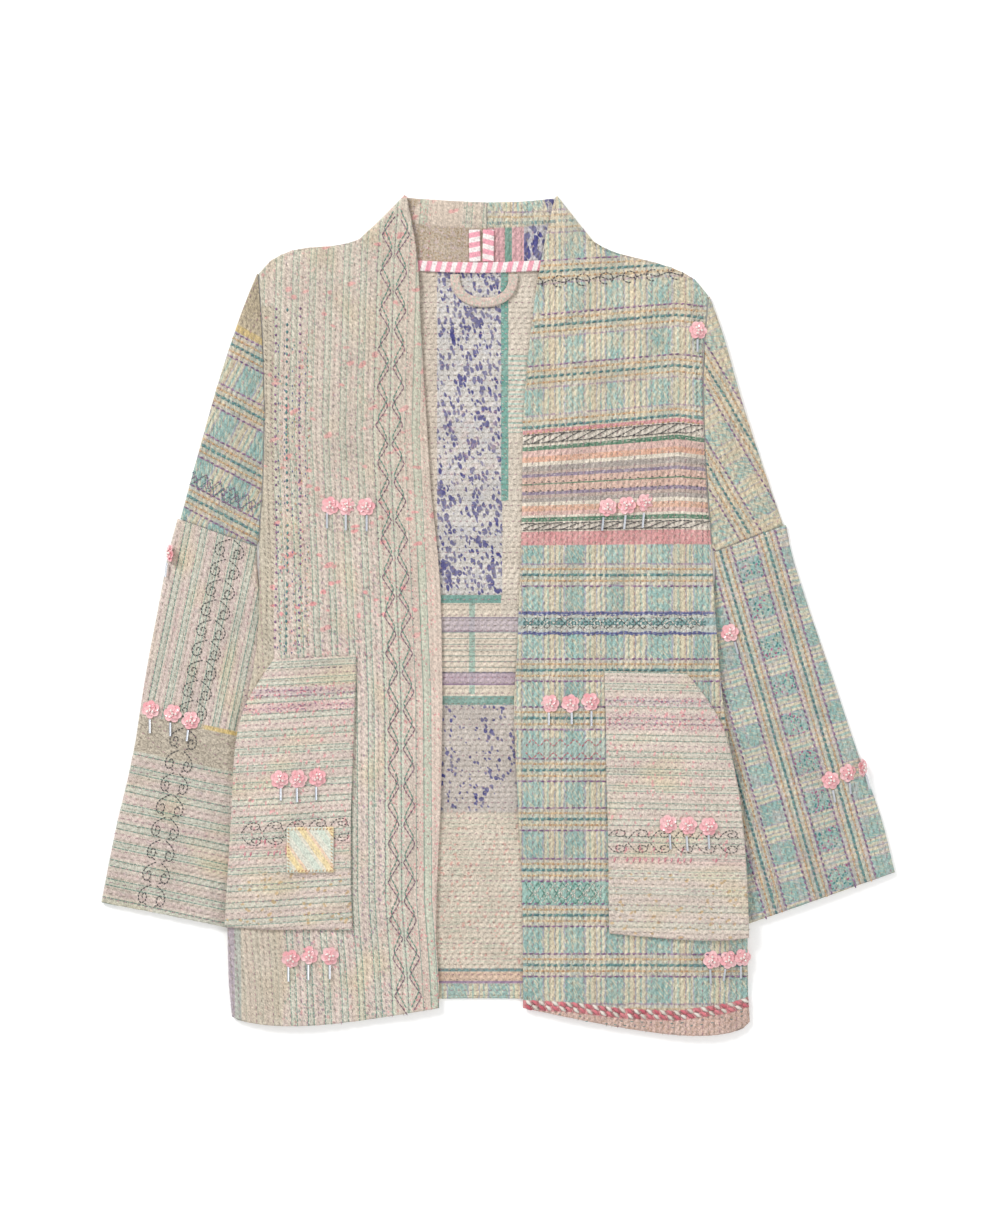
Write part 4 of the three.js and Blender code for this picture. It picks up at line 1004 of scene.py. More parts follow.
def mend_cloth():
    cloth = Dyeing("mend_cloth")
    x, y = cloth.turned(-55)
    colour = cloth.ramp(cloth.wobble(y, x, y, 0.8, 9, 91.0), 22.0, [
        (0.0, dye(238, 216, 164)), (5.5, dye(236, 206, 180)), (8.0, dye(222, 222, 208)),
        (13.0, dye(210, 220, 206)), (19.0, dye(226, 220, 202))])
    colour = cloth.mix(cloth.both(cloth.flecks(x, y, 7, 3, 0.5, 92.0, 0.2), 0.4), colour, dye(222, 218, 200))
    return cloth.finish(colour, wear=0.3, tone=1.02, shade=0.0)


mend.data.materials.append(mend_cloth())


# Bindings and loop: narrow bias strips of pink and white striped cotton cover the neck seam and the
# two sides of the collar's centre seam. The hanging loop is a strip of the striped cloth sewn to a
# tube, with its ends caught under the neck binding.
STRIPS = table("name turn flat area slot", [
    ("neck_binding", 74, (0.0116, 0.118), 0.00130, "candy_binding"),
    ("centre_binding_right", 10, (0.011, 0.031), 0.00034, "candy_binding"),
    ("centre_binding_left", -14, (0.011, 0.031), 0.00034, "candy_binding"),
    ("hanging_loop", 0, (0.0105, 0.09), 0.0009, "sage_stripe"),
])


def binding_cloth(name, turn):
    cloth = Dyeing(name + "_cotton", roughness=0.8)
    x, y = cloth.turned(turn)
    bias = cloth.wobble(y, x, y, 0.3, 5, 95.0)
    colour = cloth.ramp(bias, 9.0, [(0.0, dye(242, 232, 230)), (4.4, dye(238, 162, 178))])
    return cloth.finish(colour, wear=0.1, tone=0.98, shade=0.0)


def loop_cloth():
    cloth = Dyeing("loop_cotton")
    x, y = cloth.turned(0)
    colour = cloth.mix(cloth.flecks(x, y, 2.4, 3.4, 0.5, 96.0, 0.1), dye(214, 192, 180), dye(190, 194, 178))
    specks = cloth.flecks(x, y, 1.3, 1.3, 0.63, 97.0)
    colour = cloth.mix(cloth.both(specks, 0.6), colour, dye(226, 140, 146))
    return cloth.finish(colour, wear=0.2, tone=0.95, shade=0.0)


strips = {}
for row in STRIPS:
    strip = fine_cloth(row["name"] + "_cloth", row["name"], across=1.1, along=1.1)
    strip.data.materials.append(
        loop_cloth() if row["name"] == "hanging_loop" else binding_cloth(row["name"], row["turn"]))
    strips[row["name"]] = strip


# Quilting: rows of small running stitches hold the layers of the cloths together, two beige rows to one
# rose row. Each stitch is one short thread that sinks in at both ends.
def model_stitch():
    """One stitch, a unit long and wide, modelled once along X and copied for every row."""
    bpy.ops.object.select_all(action="DESELECT")
    bpy.ops.mesh.primitive_cylinder_add(vertices=3, radius=0.5, depth=1.0, rotation=(0, math.pi / 2, 0))
    model = bpy.context.object
    bpy.ops.object.transform_apply(location=True, rotation=True, scale=True)
    model.rotation_euler = (math.pi / 2, 0, 0)
    bpy.ops.object.transform_apply(location=True, rotation=True, scale=True)
    bpy.ops.object.mode_set(mode="EDIT")
    bpy.ops.mesh.select_all(action="SELECT")
    bpy.ops.mesh.bisect(plane_co=(0, 0, 0), plane_no=(1, 0, 0))
    bpy.ops.mesh.select_all(action="DESELECT")
    bpy.ops.object.mode_set(mode="OBJECT")
    for vertex in model.data.vertices:
        vertex.select = abs(vertex.co.x) > 0.4
    bpy.ops.object.mode_set(mode="EDIT")
    bpy.ops.transform.resize(value=(1.0, 0.4, 0.4), center_override=(0, 0, 0))
    bpy.ops.transform.translate(value=(0, 0, -0.3))
    bpy.ops.object.mode_set(mode="OBJECT")
    points = [vertex.co.copy() for vertex in model.data.vertices]
    faces = [tuple(polygon.vertices) for polygon in model.data.polygons]
    bpy.data.objects.remove(model)
    return points, faces


STITCH_POINTS, STITCH_FACES = model_stitch()


WELL_ABOVE = 0.2


class Ground:
    """All the cloth that shows from above, asked where it lies under a place."""

    def __init__(self, pieces):
        points = []
        faces = []
        self.names = []
        for piece in pieces:
            first = len(points)
            points.extend(vertex.co for vertex in piece.data.vertices)
            for polygon in piece.data.polygons:
                faces.append([first + corner for corner in polygon.vertices])
                self.names.append(piece.name)
        self.tree = BVHTree.FromPolygons(points, faces)

    def under(self, x, y, least=0.65):
        """The point, normal and piece on top at a place in mm; None beside a cloth and on its edge."""
        point, normal, index, _ = self.tree.ray_cast(Vector((x * MM, y * MM, WELL_ABOVE)), Vector((0, 0, -1)))
        if point is None or normal.z < least:
            return None
        return point, normal, self.names[index]


CLOTHS = [front_right, front_left, back, mend, *sleeves.values(), *strips.values()]
CLOTHS.extend(facts["piece"] for facts in pockets.values())
ground = Ground(CLOTHS)


def even_steps(run, stitch, gap, chance):
    """The two ends of each stitch along a run of places in mm."""
    walked = 0.0
    next_start = chance.uniform(0, gap)
    marks = []
    for start, end in zip(run, run[1:]):
        reach = math.dist(start, end)
        while reach > 0 and next_start <= walked + reach:
            share = (next_start - walked) / reach
            marks.append((start[0] + (end[0] - start[0]) * share, start[1] + (end[1] - start[1]) * share))
            next_start += stitch if len(marks) % 2 else gap * chance.uniform(0.85, 1.15)
        walked += reach
    return list(zip(marks[::2], marks[1::2]))


STITCH_RAISED = 0.45


def lay_stitches(name, runs, paint, stitch, gap, wide, high, keep, skew, seed, on):
    """Copies the one stitch along runs of places in mm, each lying on the cloth below, as one piece.

    A stitch is stitch mm long with gap mm to the next, wide and high mm thick, and slants by about
    skew degrees. Only the share keep of them is there, and only on the cloths named in on, if any.
    """
    chance = random.Random(seed)
    points = []
    faces = []
    shades = []
    for run in runs:
        for first, second in even_steps(run, stitch, gap, chance):
            lot = chance.random()
            shade = chance.random()
            below = ground.under((first[0] + second[0]) / 2, (first[1] + second[1]) / 2)
            if lot > keep or below is None or (on and below[2] not in on):
                continue
            middle, normal, _ = below
            along = Vector((second[0] - first[0], second[1] - first[1], 0.0))
            along.rotate(Matrix.Rotation(math.radians(skew * (0.6 + 0.8 * shade)), 3, "Z"))
            along = (along - normal * along.dot(normal)).normalized()
            side = normal.cross(along)
            base = len(points)
            for point in STITCH_POINTS:
                reach = along * point.x * stitch + side * point.y * wide
                reach = reach + normal * (point.z + STITCH_RAISED) * high
                points.append(middle + reach * MM)
            faces.extend(tuple(base + corner for corner in face) for face in STITCH_FACES)
            shades.extend([shade] * len(STITCH_POINTS))
    mesh = bpy.data.meshes.new(name)
    mesh.from_pydata(points, [], faces)
    layer = mesh.attributes.new("shade", "FLOAT", "POINT")
    layer.data.foreach_set("value", shades)
    for polygon in mesh.polygons:
        polygon.use_smooth = True
    mesh.materials.append(paint)
    piece = bpy.data.objects.new(name, mesh)
    scene.collection.objects.link(piece)
    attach(piece, "root")
    return piece


TWIST = 0.6


def thread(name, dark, light):
    """Twisted cotton thread, each stitch somewhere between its darker and its lighter colour, with a painted
    shade along its twist.
    """
    cotton = Dyeing(name, roughness=0.75, sheen=0.3)
    x, y = cotton.turned(33)
    shade = cotton.stored_number("shade")
    twist = cotton.maths("SINE", cotton.maths("MULTIPLY", x, 2 * math.pi / TWIST))
    colour = cotton.mix(shade, dark, light)
    # Painted shade: the colour is darkened towards grey along the grooves of the twist.
    colour = cotton.mix(cotton.maths("MULTIPLY_ADD", twist, 0.1, 0.1), colour, dye(120, 110, 110))
    worn = cotton.flecks(x, y, 6, 6, 0.5, 3.0, 0.3)
    colour = cotton.mix(cotton.both(worn, 0.12), colour, dye(226, 218, 204))
    cotton.link(colour, cotton.shader.inputs["Base Color"])
    cotton.bump(twist, 0.4, 0.1)
    return cotton.material


PAST_EDGE = 20
QUILT_STEP = 5.0


def quilting_runs(quilt, piece, every, first_row):
    """The rows of stitches over a piece, as runs of places in mm; every and first_row pick some of them."""
    xs = [vertex.co.x / MM for vertex in piece.data.vertices]
    ys = [vertex.co.y / MM for vertex in piece.data.vertices]
    left, right = min(xs) - PAST_EDGE, max(xs) + PAST_EDGE
    corners = [(x, y) for x in (left, right) for y in (min(ys), max(ys))]
    runs = []
    for section in quilt["sections"]:
        placed = [turned(x, y, section["turn"]) for x, y in corners]
        lanes = [u / quilt["row"] for u, _ in placed]
        lowest = min(v for _, v in placed)
        highest = max(v for _, v in placed)
        for number in range(int(min(lanes)), int(max(lanes))):
            if (number - first_row) % every:
                continue
            run = []
            v = lowest
            while v < highest:
                x, y = turned(number * quilt["row"], v, -section["turn"])
                x += along_table(quilt["line"], "y", "x", y) if quilt["line"] else 0.0
                if section["low"] <= turned(x, y, quilt["cut"])[1] < section["high"]:
                    run.append((x, y))
                elif run:
                    runs.append(run)
                    run = []
                v += QUILT_STEP
            if run:
                runs.append(run)
    return runs


beige_thread = thread("beige_quilting_thread", dye(142, 128, 114), dye(212, 198, 180))
rose_thread = thread("rose_quilting_thread", dye(160, 116, 136), dye(212, 168, 174))
QUILTED = table("piece quilt stitch", [
    (front_right, RIGHT_QUILT, 3.2),
    (front_left, LEFT_QUILT, 3.4),
    (back, BACK_QUILT, 2.8),
    (pockets["right"]["piece"], pockets["right"]["quilt"], 3.0),
    (pockets["left"]["piece"], pockets["left"]["quilt"], 3.0),
])
for name, sleeve in sleeves.items():
    QUILTED.append({"piece": sleeve, "quilt": SLEEVE_QUILTS[name], "stitch": 3.3})
# Every third row is rose; the two between are beige.
QUILT_THREADS = table("word paint rows seed", [
    ("_rose_quilting", rose_thread, (0,), 40),
    ("_quilting", beige_thread, (1, 2), 60),
])
for number, facts in enumerate(QUILTED):
    host = facts["piece"]
    for row in QUILT_THREADS:
        runs = []
        for first_row in row["rows"]:
            runs += quilting_runs(facts["quilt"], host, 3, first_row)
        lay_stitches(
            host.name + row["word"], runs, row["paint"], facts["stitch"], gap=3.2, wide=0.9, high=0.6,
            keep=1.0, skew=14 * facts["quilt"]["slant"], seed=row["seed"] + number, on=[host.name])



# Needlework: running-stitch embroidery over the finished cloths. A band of woven diamonds runs down
# the right front, pairs of scrolling stems down the right sleeve and over the pockets, loops along the
# left shoulder, and twists, zigzags and diamonds over the left front's bars.
def lay_rows(hosts, rows):
    """Lays a table of stitches, one piece for each row, on the named cloths or on every cloth."""
    for row in table("name runs paint stitch gap wide high keep skew seed", rows):
        lay_stitches(**row, on=hosts)


def along_line(start, end):
    """Turns (mm along, mm to its left) into a place, for needlework on a line from start to end."""
    reach = math.dist(start, end)
    ax = (end[0] - start[0]) / reach
    ay = (end[1] - start[1]) / reach
    return lambda s, o: (start[0] + ax * s - ay * o, start[1] + ay * s + ax * o)


def side_by_side(place, first, last, step, sides):
    """Plain runs along a line, one at each distance to its side."""
    return [[place(s, o) for s in range(first, last, step)] for o in sides]


def zigzag(place, first, last, period, low, high, phase=0.0):
    """A run that goes to and fro between two distances from its line."""
    run = []
    number = 0
    while first + (number / 2 + phase) * period <= last:
        run.append(place(first + (number / 2 + phase) * period, high if number % 2 else low))
        number += 1
    return run


def crossed(place, first, last, period, low, high, phase=0.0):
    """Two zigzags that cross in every repeat and so make a row of diamonds."""
    return [
        zigzag(place, first, last, period, low, high, phase),
        zigzag(place, first, last, period, high, low, phase)]


def wave(place, first, last, period, middle, reach, phase=0.0):
    """A run that swings smoothly to both sides of its line."""
    run = []
    s = first
    while s <= last:
        run.append(place(s, middle + reach * math.sin(2 * math.pi * (s / period + phase))))
        s += period / 14
    return run


def strokes(place, first, last, step, low, high, lean):
    """Single strokes side by side: each goes from low to high and leans forward by lean mm."""
    runs = []
    s = first
    while s <= last:
        runs.append([place(s, low), place(s + lean, high)])
        s += step
    return runs


LEVEL_END = 0.22
CLIMB = 0.56


def rope(place, first, last, step, low, high, lean):
    """Strokes that rise from low to high and run level at both ends, as the strands of a rope do."""
    runs = []
    s = first
    while s <= last:
        run = []
        for part in range(13):
            share = part / 12
            climbed = min(max((share - LEVEL_END) / CLIMB, 0.0), 1.0)
            rise = 0.5 - 0.5 * math.cos(math.pi * climbed)
            run.append(place(s + lean * share, low + (high - low) * rise))
        runs.append(run)
        s += step
    return runs


SCROLL = table("s o", [
    (0.0, 0.0), (0.14, 0.42), (0.32, 0.84), (0.56, 1.0), (0.8, 0.9), (0.9, 0.6), (0.78, 0.3),
    (0.54, 0.26), (0.42, 0.5), (0.52, 0.7), (0.68, 0.6),
])
SCROLL_LINK = table("s o", [(0.86, 0.4), (0.92, 0.18), (1.0, 0.0)])


def scrolls(place, count, period, base, height):
    """A stem that rolls over into a small hook in every repeat, as runs of places."""
    runs = []
    for number in range(count):
        for shape in (SCROLL, SCROLL_LINK):
            runs.append([place((number + mark["s"]) * period, base + mark["o"] * height) for mark in shape])
    return runs


def on_band(s, o):
    """A place on the right front's band: s is its height, o its distance from the band's middle."""
    return along_table(RIGHT_BAND_LINE, "y", "x", s) + o, s


black_thread = thread("black_thread", dye(34, 36, 42), dye(66, 68, 72))
teal_thread = thread("teal_thread", dye(52, 112, 118), dye(98, 156, 150))
green_thread = thread("green_thread", dye(62, 134, 118), dye(104, 170, 148))
purple_thread = thread("purple_thread", dye(112, 70, 122), dye(164, 116, 160))
plum_thread = thread("plum_thread", dye(104, 70, 96), dye(150, 110, 136))
blue_thread = thread("blue_thread", dye(60, 66, 140), dye(104, 112, 172))
pink_thread = thread("pink_thread", dye(216, 120, 138), dye(244, 176, 184))
red_thread = thread("red_thread", dye(204, 80, 100), dye(236, 132, 142))
white_thread = thread("white_thread", dye(222, 214, 200), dye(246, 240, 230))
yellow_thread = thread("yellow_thread", dye(206, 176, 110), dye(232, 212, 160))

BAND_LOW = -368.0
BAND_HIGH = 384.0
DIAMOND = 35.0
band_green = []
band_plum = []
for side in (-1, 1):
    band_green.append(zigzag(on_band, BAND_LOW, BAND_HIGH, DIAMOND, side * 2.4, side * 11.0, 0.19))
    band_plum.append(zigzag(on_band, BAND_LOW, BAND_HIGH, DIAMOND, side * 1.5, side * 12.8))
band_specks = side_by_side(on_band, -365, 380, 6, (-7.5, -4, 4, 7.5, 17.5, 24.5, 31))
band_dots = side_by_side(on_band, -365, 380, 6, (-14.4, 0.0, 14.6))
lay_rows(None, [
    ("band_green_diamonds", band_green, green_thread, 4.0, 0.4, 1.5, 1.1, 1.0, 0, 71),
    ("band_plum_diamonds", band_plum, plum_thread, 4.0, 0.4, 1.5, 1.1, 1.0, 0, 72),
    ("band_pink_specks", band_specks, pink_thread, 2.0, 5.0, 0.9, 0.6, 0.4, 30, 73),
    ("band_plum_dots", band_dots, plum_thread, 1.3, 4.6, 1.3, 0.6, 0.7, 30, 74),
])


# Small square stitches in columns beside the right armhole, and specks scattered between them.
def dots(x):
    return [[(x + 0.6 * math.sin(y / 40), y) for y in range(284, -44, -8)]]


def specks(shift):
    return [[(x + shift, y) for y in range(250, -44, -7)] for x in (-203, -197, -190, -184, -178)]


RIGHT_HOSTS = ["front_right_cloth"]
lay_rows(RIGHT_HOSTS, [
    ("outer_purple_dots", dots(-205.2), purple_thread, 2.4, 5.2, 3.0, 0.9, 0.92, 0, 80),
    ("teal_dots", dots(-195.0), teal_thread, 3.2, 3.6, 3.0, 0.9, 0.92, 0, 81),
    ("inner_purple_dots", dots(-183.1), purple_thread, 2.4, 5.2, 3.0, 0.9, 0.92, 0, 82),
    ("blue_specks", specks(0.0), blue_thread, 2.0, 4.6, 1.4, 0.7, 0.4, 0, 90),
    ("teal_specks", specks(1.7), teal_thread, 2.0, 4.6, 1.4, 0.7, 0.4, 0, 91),
    ("pink_specks", specks(3.4), pink_thread, 2.0, 4.6, 1.4, 0.7, 0.4, 0, 92),
    ("yellow_specks", specks(2.6), yellow_thread, 2.0, 4.6, 1.4, 0.7, 0.4, 0, 93),
])

# The right sleeve's pairs of scrolling stems, the pockets' scrolls and dabs, and the zigzags that are
# scribbled over the upper right sleeve.
vine = along_line((-245.5, 69.5), (-283.8, -98.0))
low_vine = along_line((-288.0, -104.0), (-322.0, -272.0))
sleeve_scrolls = scrolls(vine, 9, 19.0, 1.2, 12.3) + scrolls(vine, 9, 19.0, -1.2, -12.3)
sleeve_scrolls += scrolls(low_vine, 8, 21.0, 2.0, 10.5) + scrolls(low_vine, 8, 21.0, -2.0, -10.5)
right_line = along_line((-236.0, -208.0), (-134.0, -203.0))
pocket_scrolls = scrolls(right_line, 5, 20.0, 8.0, 9.0) + scrolls(right_line, 5, 20.0, 5.0, -9.0)
left_line = along_line((98.0, -214.0), (222.0, -214.5))
pocket_scrolls += scrolls(left_line, 6, 20.5, 8.0, 9.0) + scrolls(left_line, 6, 20.5, 5.0, -9.0)
pocket_pinks = strokes(right_line, 2, 50, 5.4, -14, -8, 1.4) + strokes(right_line, 5, 50, 8.0, -3, 2, 1.2)
pocket_pinks += strokes(left_line, 2, 122, 5.8, -13, -7, 1.4) + strokes(left_line, 5, 118, 13.0, -3, 2, 1.2)
pocket_purples = [[(x, y) for x in range(-236, -136, 5)] for y in (-48, -69, -74, -82, -86)]
pocket_purples += [[(x, y) for x in range(98, 222, 5)] for y in (-79, -96, -101)]
scribble = along_line((-290.0, 130.0), (-218.0, 96.0))
teal_scribbles = [zigzag(scribble, 0, 80, 17, -7, 7), zigzag(scribble, 0, 80, 17, 7, -7, 0.05)]
purple_scribbles = [zigzag(scribble, 0, 80, 14, -9, 4, 0.3), zigzag(scribble, 0, 80, 14, 9, -4, 0.4)]
lay_rows(None, [
    ("sleeve_scroll_stems", sleeve_scrolls, black_thread, 2.5, 0.7, 1.5, 1.1, 1.0, 0, 101),
])
lay_rows(["pocket_right_cloth", "pocket_left_cloth"], [
    ("pocket_scroll_stems", pocket_scrolls, black_thread, 2.5, 0.7, 1.25, 1.0, 1.0, 0, 102),
    ("pocket_pink_dabs", pocket_pinks, pink_thread, 4.6, 0.1, 2.3, 1.0, 0.75, 0, 103),
])
lay_rows(None, [
    ("pocket_purple_rows", pocket_purples, purple_thread, 2.6, 2.8, 0.9, 0.7, 0.7, 25, 104),
])
lay_rows(["sleeve_right_upper_cloth"], [
    ("sleeve_teal_zigzags", teal_scribbles, teal_thread, 3.2, 0.7, 1.2, 0.9, 1.0, 0, 105),
    ("sleeve_purple_zigzags", purple_scribbles, purple_thread, 3.2, 0.7, 1.2, 0.9, 1.0, 0, 106),
])


# The left front's loops at the shoulder, ropes in the chest band, blue chain and green diamonds.
def on_bars(s, o):
    """A place on the left front that rises with its bars: s across it, o its height."""
    return s, o + left_rise(s, o)


shoulder_runs = []
for number in range(8):
    centre = on_bars(34 + 21.5 * number, 304.5)
    ring = []
    for step in range(11):
        angle = math.radians(-40 + 34 * step)
        ring.append((centre[0] + 6.4 * math.cos(angle), centre[1] + 5.4 * math.sin(angle)))
    shoulder_runs.append(ring)
shoulder_runs.append(wave(on_bars, 28, 186, 21.5, 305, 1.6))
twists = rope(on_bars, -8, 170, 13.0, 157.2, 165.0, 44) + rope(on_bars, -8, 170, 13.0, 78.0, 84.2, 44)
chest_dots = side_by_side(on_bars, 24, 190, 6, (121.5, 113.5))
chest_rows = side_by_side(on_bars, 24, 190, 6, (136, 129.5, 106.5, 99, 153.6, 87))
black_chain = crossed(on_bars, 22, 192, 22, -13, -2)
white_chain = [zigzag(on_bars, 22, 192, 22, -11, 0, 0.12), zigzag(on_bars, 22, 192, 22, -4, -15, 0.12)]
teal_chain = [wave(on_bars, 22, 192, 11, -7.5, 2.2, phase) for phase in (0.0, 0.5)]
blue_chain = [wave(on_bars, 22, 192, 22, o, 0.8) for o in (2.2, 0.4, -16.0, -17.8)]
green_diamonds = crossed(on_bars, 24, 98, 23, -266, -246)
cream_diamonds = crossed(on_bars, 24, 98, 23, -262, -250, 0.1)
cream_diamonds += crossed(on_bars, 24, 98, 23, -266, -246, 0.2)
pink_zigzags = [zigzag(on_bars, 24, 98, 13, -121, -114), zigzag(on_bars, 24, 98, 13, -126, -133)]
LEFT_HOSTS = ["front_left_cloth"]
lay_rows(LEFT_HOSTS, [
    ("shoulder_loops", shoulder_runs, black_thread, 2.8, 0.5, 1.5, 1.1, 1.0, 0, 111),
    ("chest_twists", twists, black_thread, 3.4, 0.1, 1.2, 1.9, 1.0, 0, 112),
    ("chest_dark_dots", chest_dots, black_thread, 2.2, 4.6, 1.3, 0.7, 1.0, 0, 113),
    ("chest_white_rows", chest_rows, white_thread, 2.4, 4.2, 0.8, 0.6, 1.0, 0, 114),
    ("chain_black_zigzags", black_chain, black_thread, 3.2, 0.5, 1.4, 1.0, 1.0, 0, 115),
    ("chain_white_zigzags", white_chain, white_thread, 3.0, 0.8, 2.4, 1.1, 1.0, 0, 116),
    ("chain_teal_rows", teal_chain, teal_thread, 3.2, 0.9, 2.2, 1.1, 1.0, 0, 120),
    ("chain_blue_rows", blue_chain, blue_thread, 3.8, 0.7, 1.7, 1.1, 1.0, 0, 117),
    ("green_diamonds", green_diamonds, green_thread, 3.2, 0.6, 1.5, 1.0, 1.0, 0, 118),
    ("cream_diamonds", cream_diamonds, white_thread, 3.0, 1.0, 1.5, 1.0, 1.0, 0, 119),
    ("pink_zigzags", pink_zigzags, red_thread, 3.0, 1.0, 1.3, 0.9, 1.0, 0, 158),
])

# The plaids' overlaid rows: teal along the middle of each group of bars, tan beside it and purple
# along its edges.
tan_thread = thread("tan_thread", dye(204, 148, 96), dye(236, 204, 158))
TAN_ROW = 5.4
PURPLE_ROW = 10.4
teal_rows = []
purple_rows = []
tan_rows = []
for woven in LEFT_BARS[1:-1]:
    y = woven["y"]
    if -20 < y < 0 or 60 < y < 165:
        continue
    teal_rows += side_by_side(on_bars, 20, 240, 6, (y,))
    tan_rows += side_by_side(on_bars, 20, 240, 6, (y - TAN_ROW, y + TAN_ROW))
    if y < 165:
        purple_rows += side_by_side(on_bars, 20, 240, 6, (y - PURPLE_ROW,))
    if y < 20 or y > 175:
        purple_rows += side_by_side(on_bars, 20, 240, 6, (y + PURPLE_ROW,))
lay_rows(LEFT_HOSTS, [
    ("front_teal_rows", teal_rows, teal_thread, 4.0, 1.9, 2.8, 1.4, 1.0, 18, 121),
    ("front_purple_rows", purple_rows, purple_thread, 3.6, 2.0, 2.1, 1.1, 0.85, 8, 122),
    ("front_tan_rows", tan_rows, tan_thread, 2.2, 2.6, 2.4, 1.2, 0.85, 24, 123),
])
SLEEVE_ROWS = table("host turn centres", [
    ("sleeve_right_upper", RIGHT_UPPER_TURN + 90, (104.7, 57.3, 9.9, -37.5)),
    ("sleeve_left_upper", LEFT_UPPER_TURN, (190.4, 235.9, 281.4)),
    ("sleeve_left_lower", LEFT_LOWER_TURN, (168.5, 212, 255.5, 299)),
])
SLEEVE_THREADS = table("edge word paint stitch gap wide", [
    (0.0, "_teal_rows", teal_thread, 3.8, 1.4, 2.8),
    (TAN_ROW, "_tan_rows", tan_thread, 2.2, 2.6, 2.2),
    (PURPLE_ROW, "_purple_rows", purple_thread, 3.4, 2.0, 2.0),
])
for number, row in enumerate(SLEEVE_ROWS):
    for facts in SLEEVE_THREADS:
        runs = []
        for centre in row["centres"]:
            for side in {-facts["edge"], facts["edge"]}:
                runs.append([turned(centre + side, v, -row["turn"]) for v in range(-420, 480, 8)])
        lay_stitches(
            row["host"] + facts["word"], runs, facts["paint"], facts["stitch"], facts["gap"],
            facts["wide"], high=1.2, keep=1.0, skew=14, seed=130 + number, on=[row["host"] + "_cloth"])

# Pale stitches cross the teal strip on the inside of the back, and short slanted stitches hold the
# fronts' armhole edges down over the sleeves.
grey_thread = thread("grey_thread", dye(104, 94, 90), dye(160, 148, 136))
strip_rows = [[(x, y) for y in range(106, 330, 6)] for x in (3.6, 6.8)]
right_armhole = [[(x + 1.5 * math.sin(y / 60), y) for y in range(286, -40, -6)] for x in (-213.5, -209.0)]
left_armhole = []
for shift in (-4.5, -9.0):
    left_armhole.append([(188.0 + 9 * (290 - y) / 230 + shift, y) for y in range(286, 60, -6)])
lay_rows(["back_cloth"], [
    ("strip_white_rows", strip_rows, white_thread, 2.2, 4.0, 1.0, 0.7, 0.6, 62, 163),
])
lay_rows(RIGHT_HOSTS, [
    ("right_armhole_overcast", right_armhole, grey_thread, 2.6, 1.8, 0.9, 0.9, 0.85, 48, 161),
])
lay_rows(LEFT_HOSTS, [
    ("left_armhole_overcast", left_armhole, grey_thread, 2.6, 1.8, 0.9, 0.9, 0.85, -48, 162),
])


# The hem braid's two thick strands cross over in every repeat, one red and one cream, and the mend is
# oversewn round its edge.
def on_braid(s, o):
    """A place on the hem braid: s across the front, o above the braid's middle."""
    return s, along_table(HEM_BRAID, "x", "y", s) + o


STRAND_STEP = 12.4
red_strands = strokes(on_braid, 18, 230, STRAND_STEP, 4.6, -0.2, 7.5)
red_strands += strokes(on_braid, 24, 230, STRAND_STEP, 0.2, -4.6, 7.5)
cream_strands = strokes(on_braid, 24, 230, STRAND_STEP, 4.6, -0.2, 7.5)
cream_strands += strokes(on_braid, 18, 230, STRAND_STEP, 0.2, -4.6, 7.5)
border_rows = side_by_side(on_braid, 22, 234, 4, (-7, -11))
lay_rows(LEFT_HOSTS, [
    ("hem_red_strands", red_strands, red_thread, 7.6, 0.1, 5.2, 2.2, 1.0, 0, 151),
    ("hem_cream_strands", cream_strands, white_thread, 7.6, 0.1, 5.0, 2.0, 1.0, 0, 152),
    ("hem_green_rows", border_rows, teal_thread, 3.0, 6.0, 1.0, 0.8, 0.6, 0, 153),
])
MEND_INSET = 1.8
mend_low, mend_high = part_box("pocket_mend")
left, low = mend_low[0] / MM, mend_low[1] / MM
right, high = mend_high[0] / MM, mend_high[1] / MM
mend_edges = [[(x, low), (x, high)] for x in (left + MEND_INSET, right - MEND_INSET)]
mend_edges += [[(left, y), (right, y)] for y in (low + MEND_INSET, high - MEND_INSET)]
lay_rows(["pocket_mend_cloth"], [
    ("mend_overcast", mend_edges, tan_thread, 2.6, 0.6, 1.3, 0.9, 1.0, 60, 154),
])


# Sequin flowers: cup sequins sewn in two rings round a few pearly beads, each flower with a silver
# bugle bead for its stem. They sit in threes on the cloth, and alone in three places.
SEQUIN_RADIUS = 3.7
BEAD_RADIUS = 1.2
BUGLE_RADIUS = 1.1


def take_model(material_number):
    """The finished model's points in mm, its faces in a fixed order and its material number."""
    model = bpy.context.object
    points = [vertex.co.copy() for vertex in model.data.vertices]
    faces = sorted(tuple(polygon.vertices) for polygon in model.data.polygons)
    bpy.data.objects.remove(model)
    return {"points": points, "faces": faces, "material": material_number}


def select_where(model, rule):
    bpy.ops.object.mode_set(mode="EDIT")
    bpy.ops.mesh.select_mode(type="VERT")
    bpy.ops.mesh.select_all(action="DESELECT")
    bpy.ops.object.mode_set(mode="OBJECT")
    for vertex in model.data.vertices:
        vertex.select = rule(vertex.co)
    bpy.ops.object.mode_set(mode="EDIT")


def model_sequin():
    """A thin disc with a raised rim and a pierced middle."""
    bpy.ops.object.select_all(action="DESELECT")
    bpy.ops.mesh.primitive_circle_add(vertices=12, radius=SEQUIN_RADIUS, fill_type="NGON")
    model = bpy.context.object
    bpy.ops.object.mode_set(mode="EDIT")
    bpy.ops.mesh.select_all(action="SELECT")
    bpy.ops.mesh.inset(thickness=1.2, depth=-0.5)
    bpy.ops.mesh.inset(thickness=1.5, depth=-0.4)
    bpy.ops.mesh.inset(thickness=0.5, depth=0.0)
    bpy.ops.mesh.delete(type="FACE")
    bpy.ops.object.mode_set(mode="OBJECT")
    wall = model.modifiers.new("wall", "SOLIDIFY")
    wall.thickness = 0.22
    wall.offset = 0.0
    bpy.ops.object.modifier_apply(modifier=wall.name)
    return take_model(0)


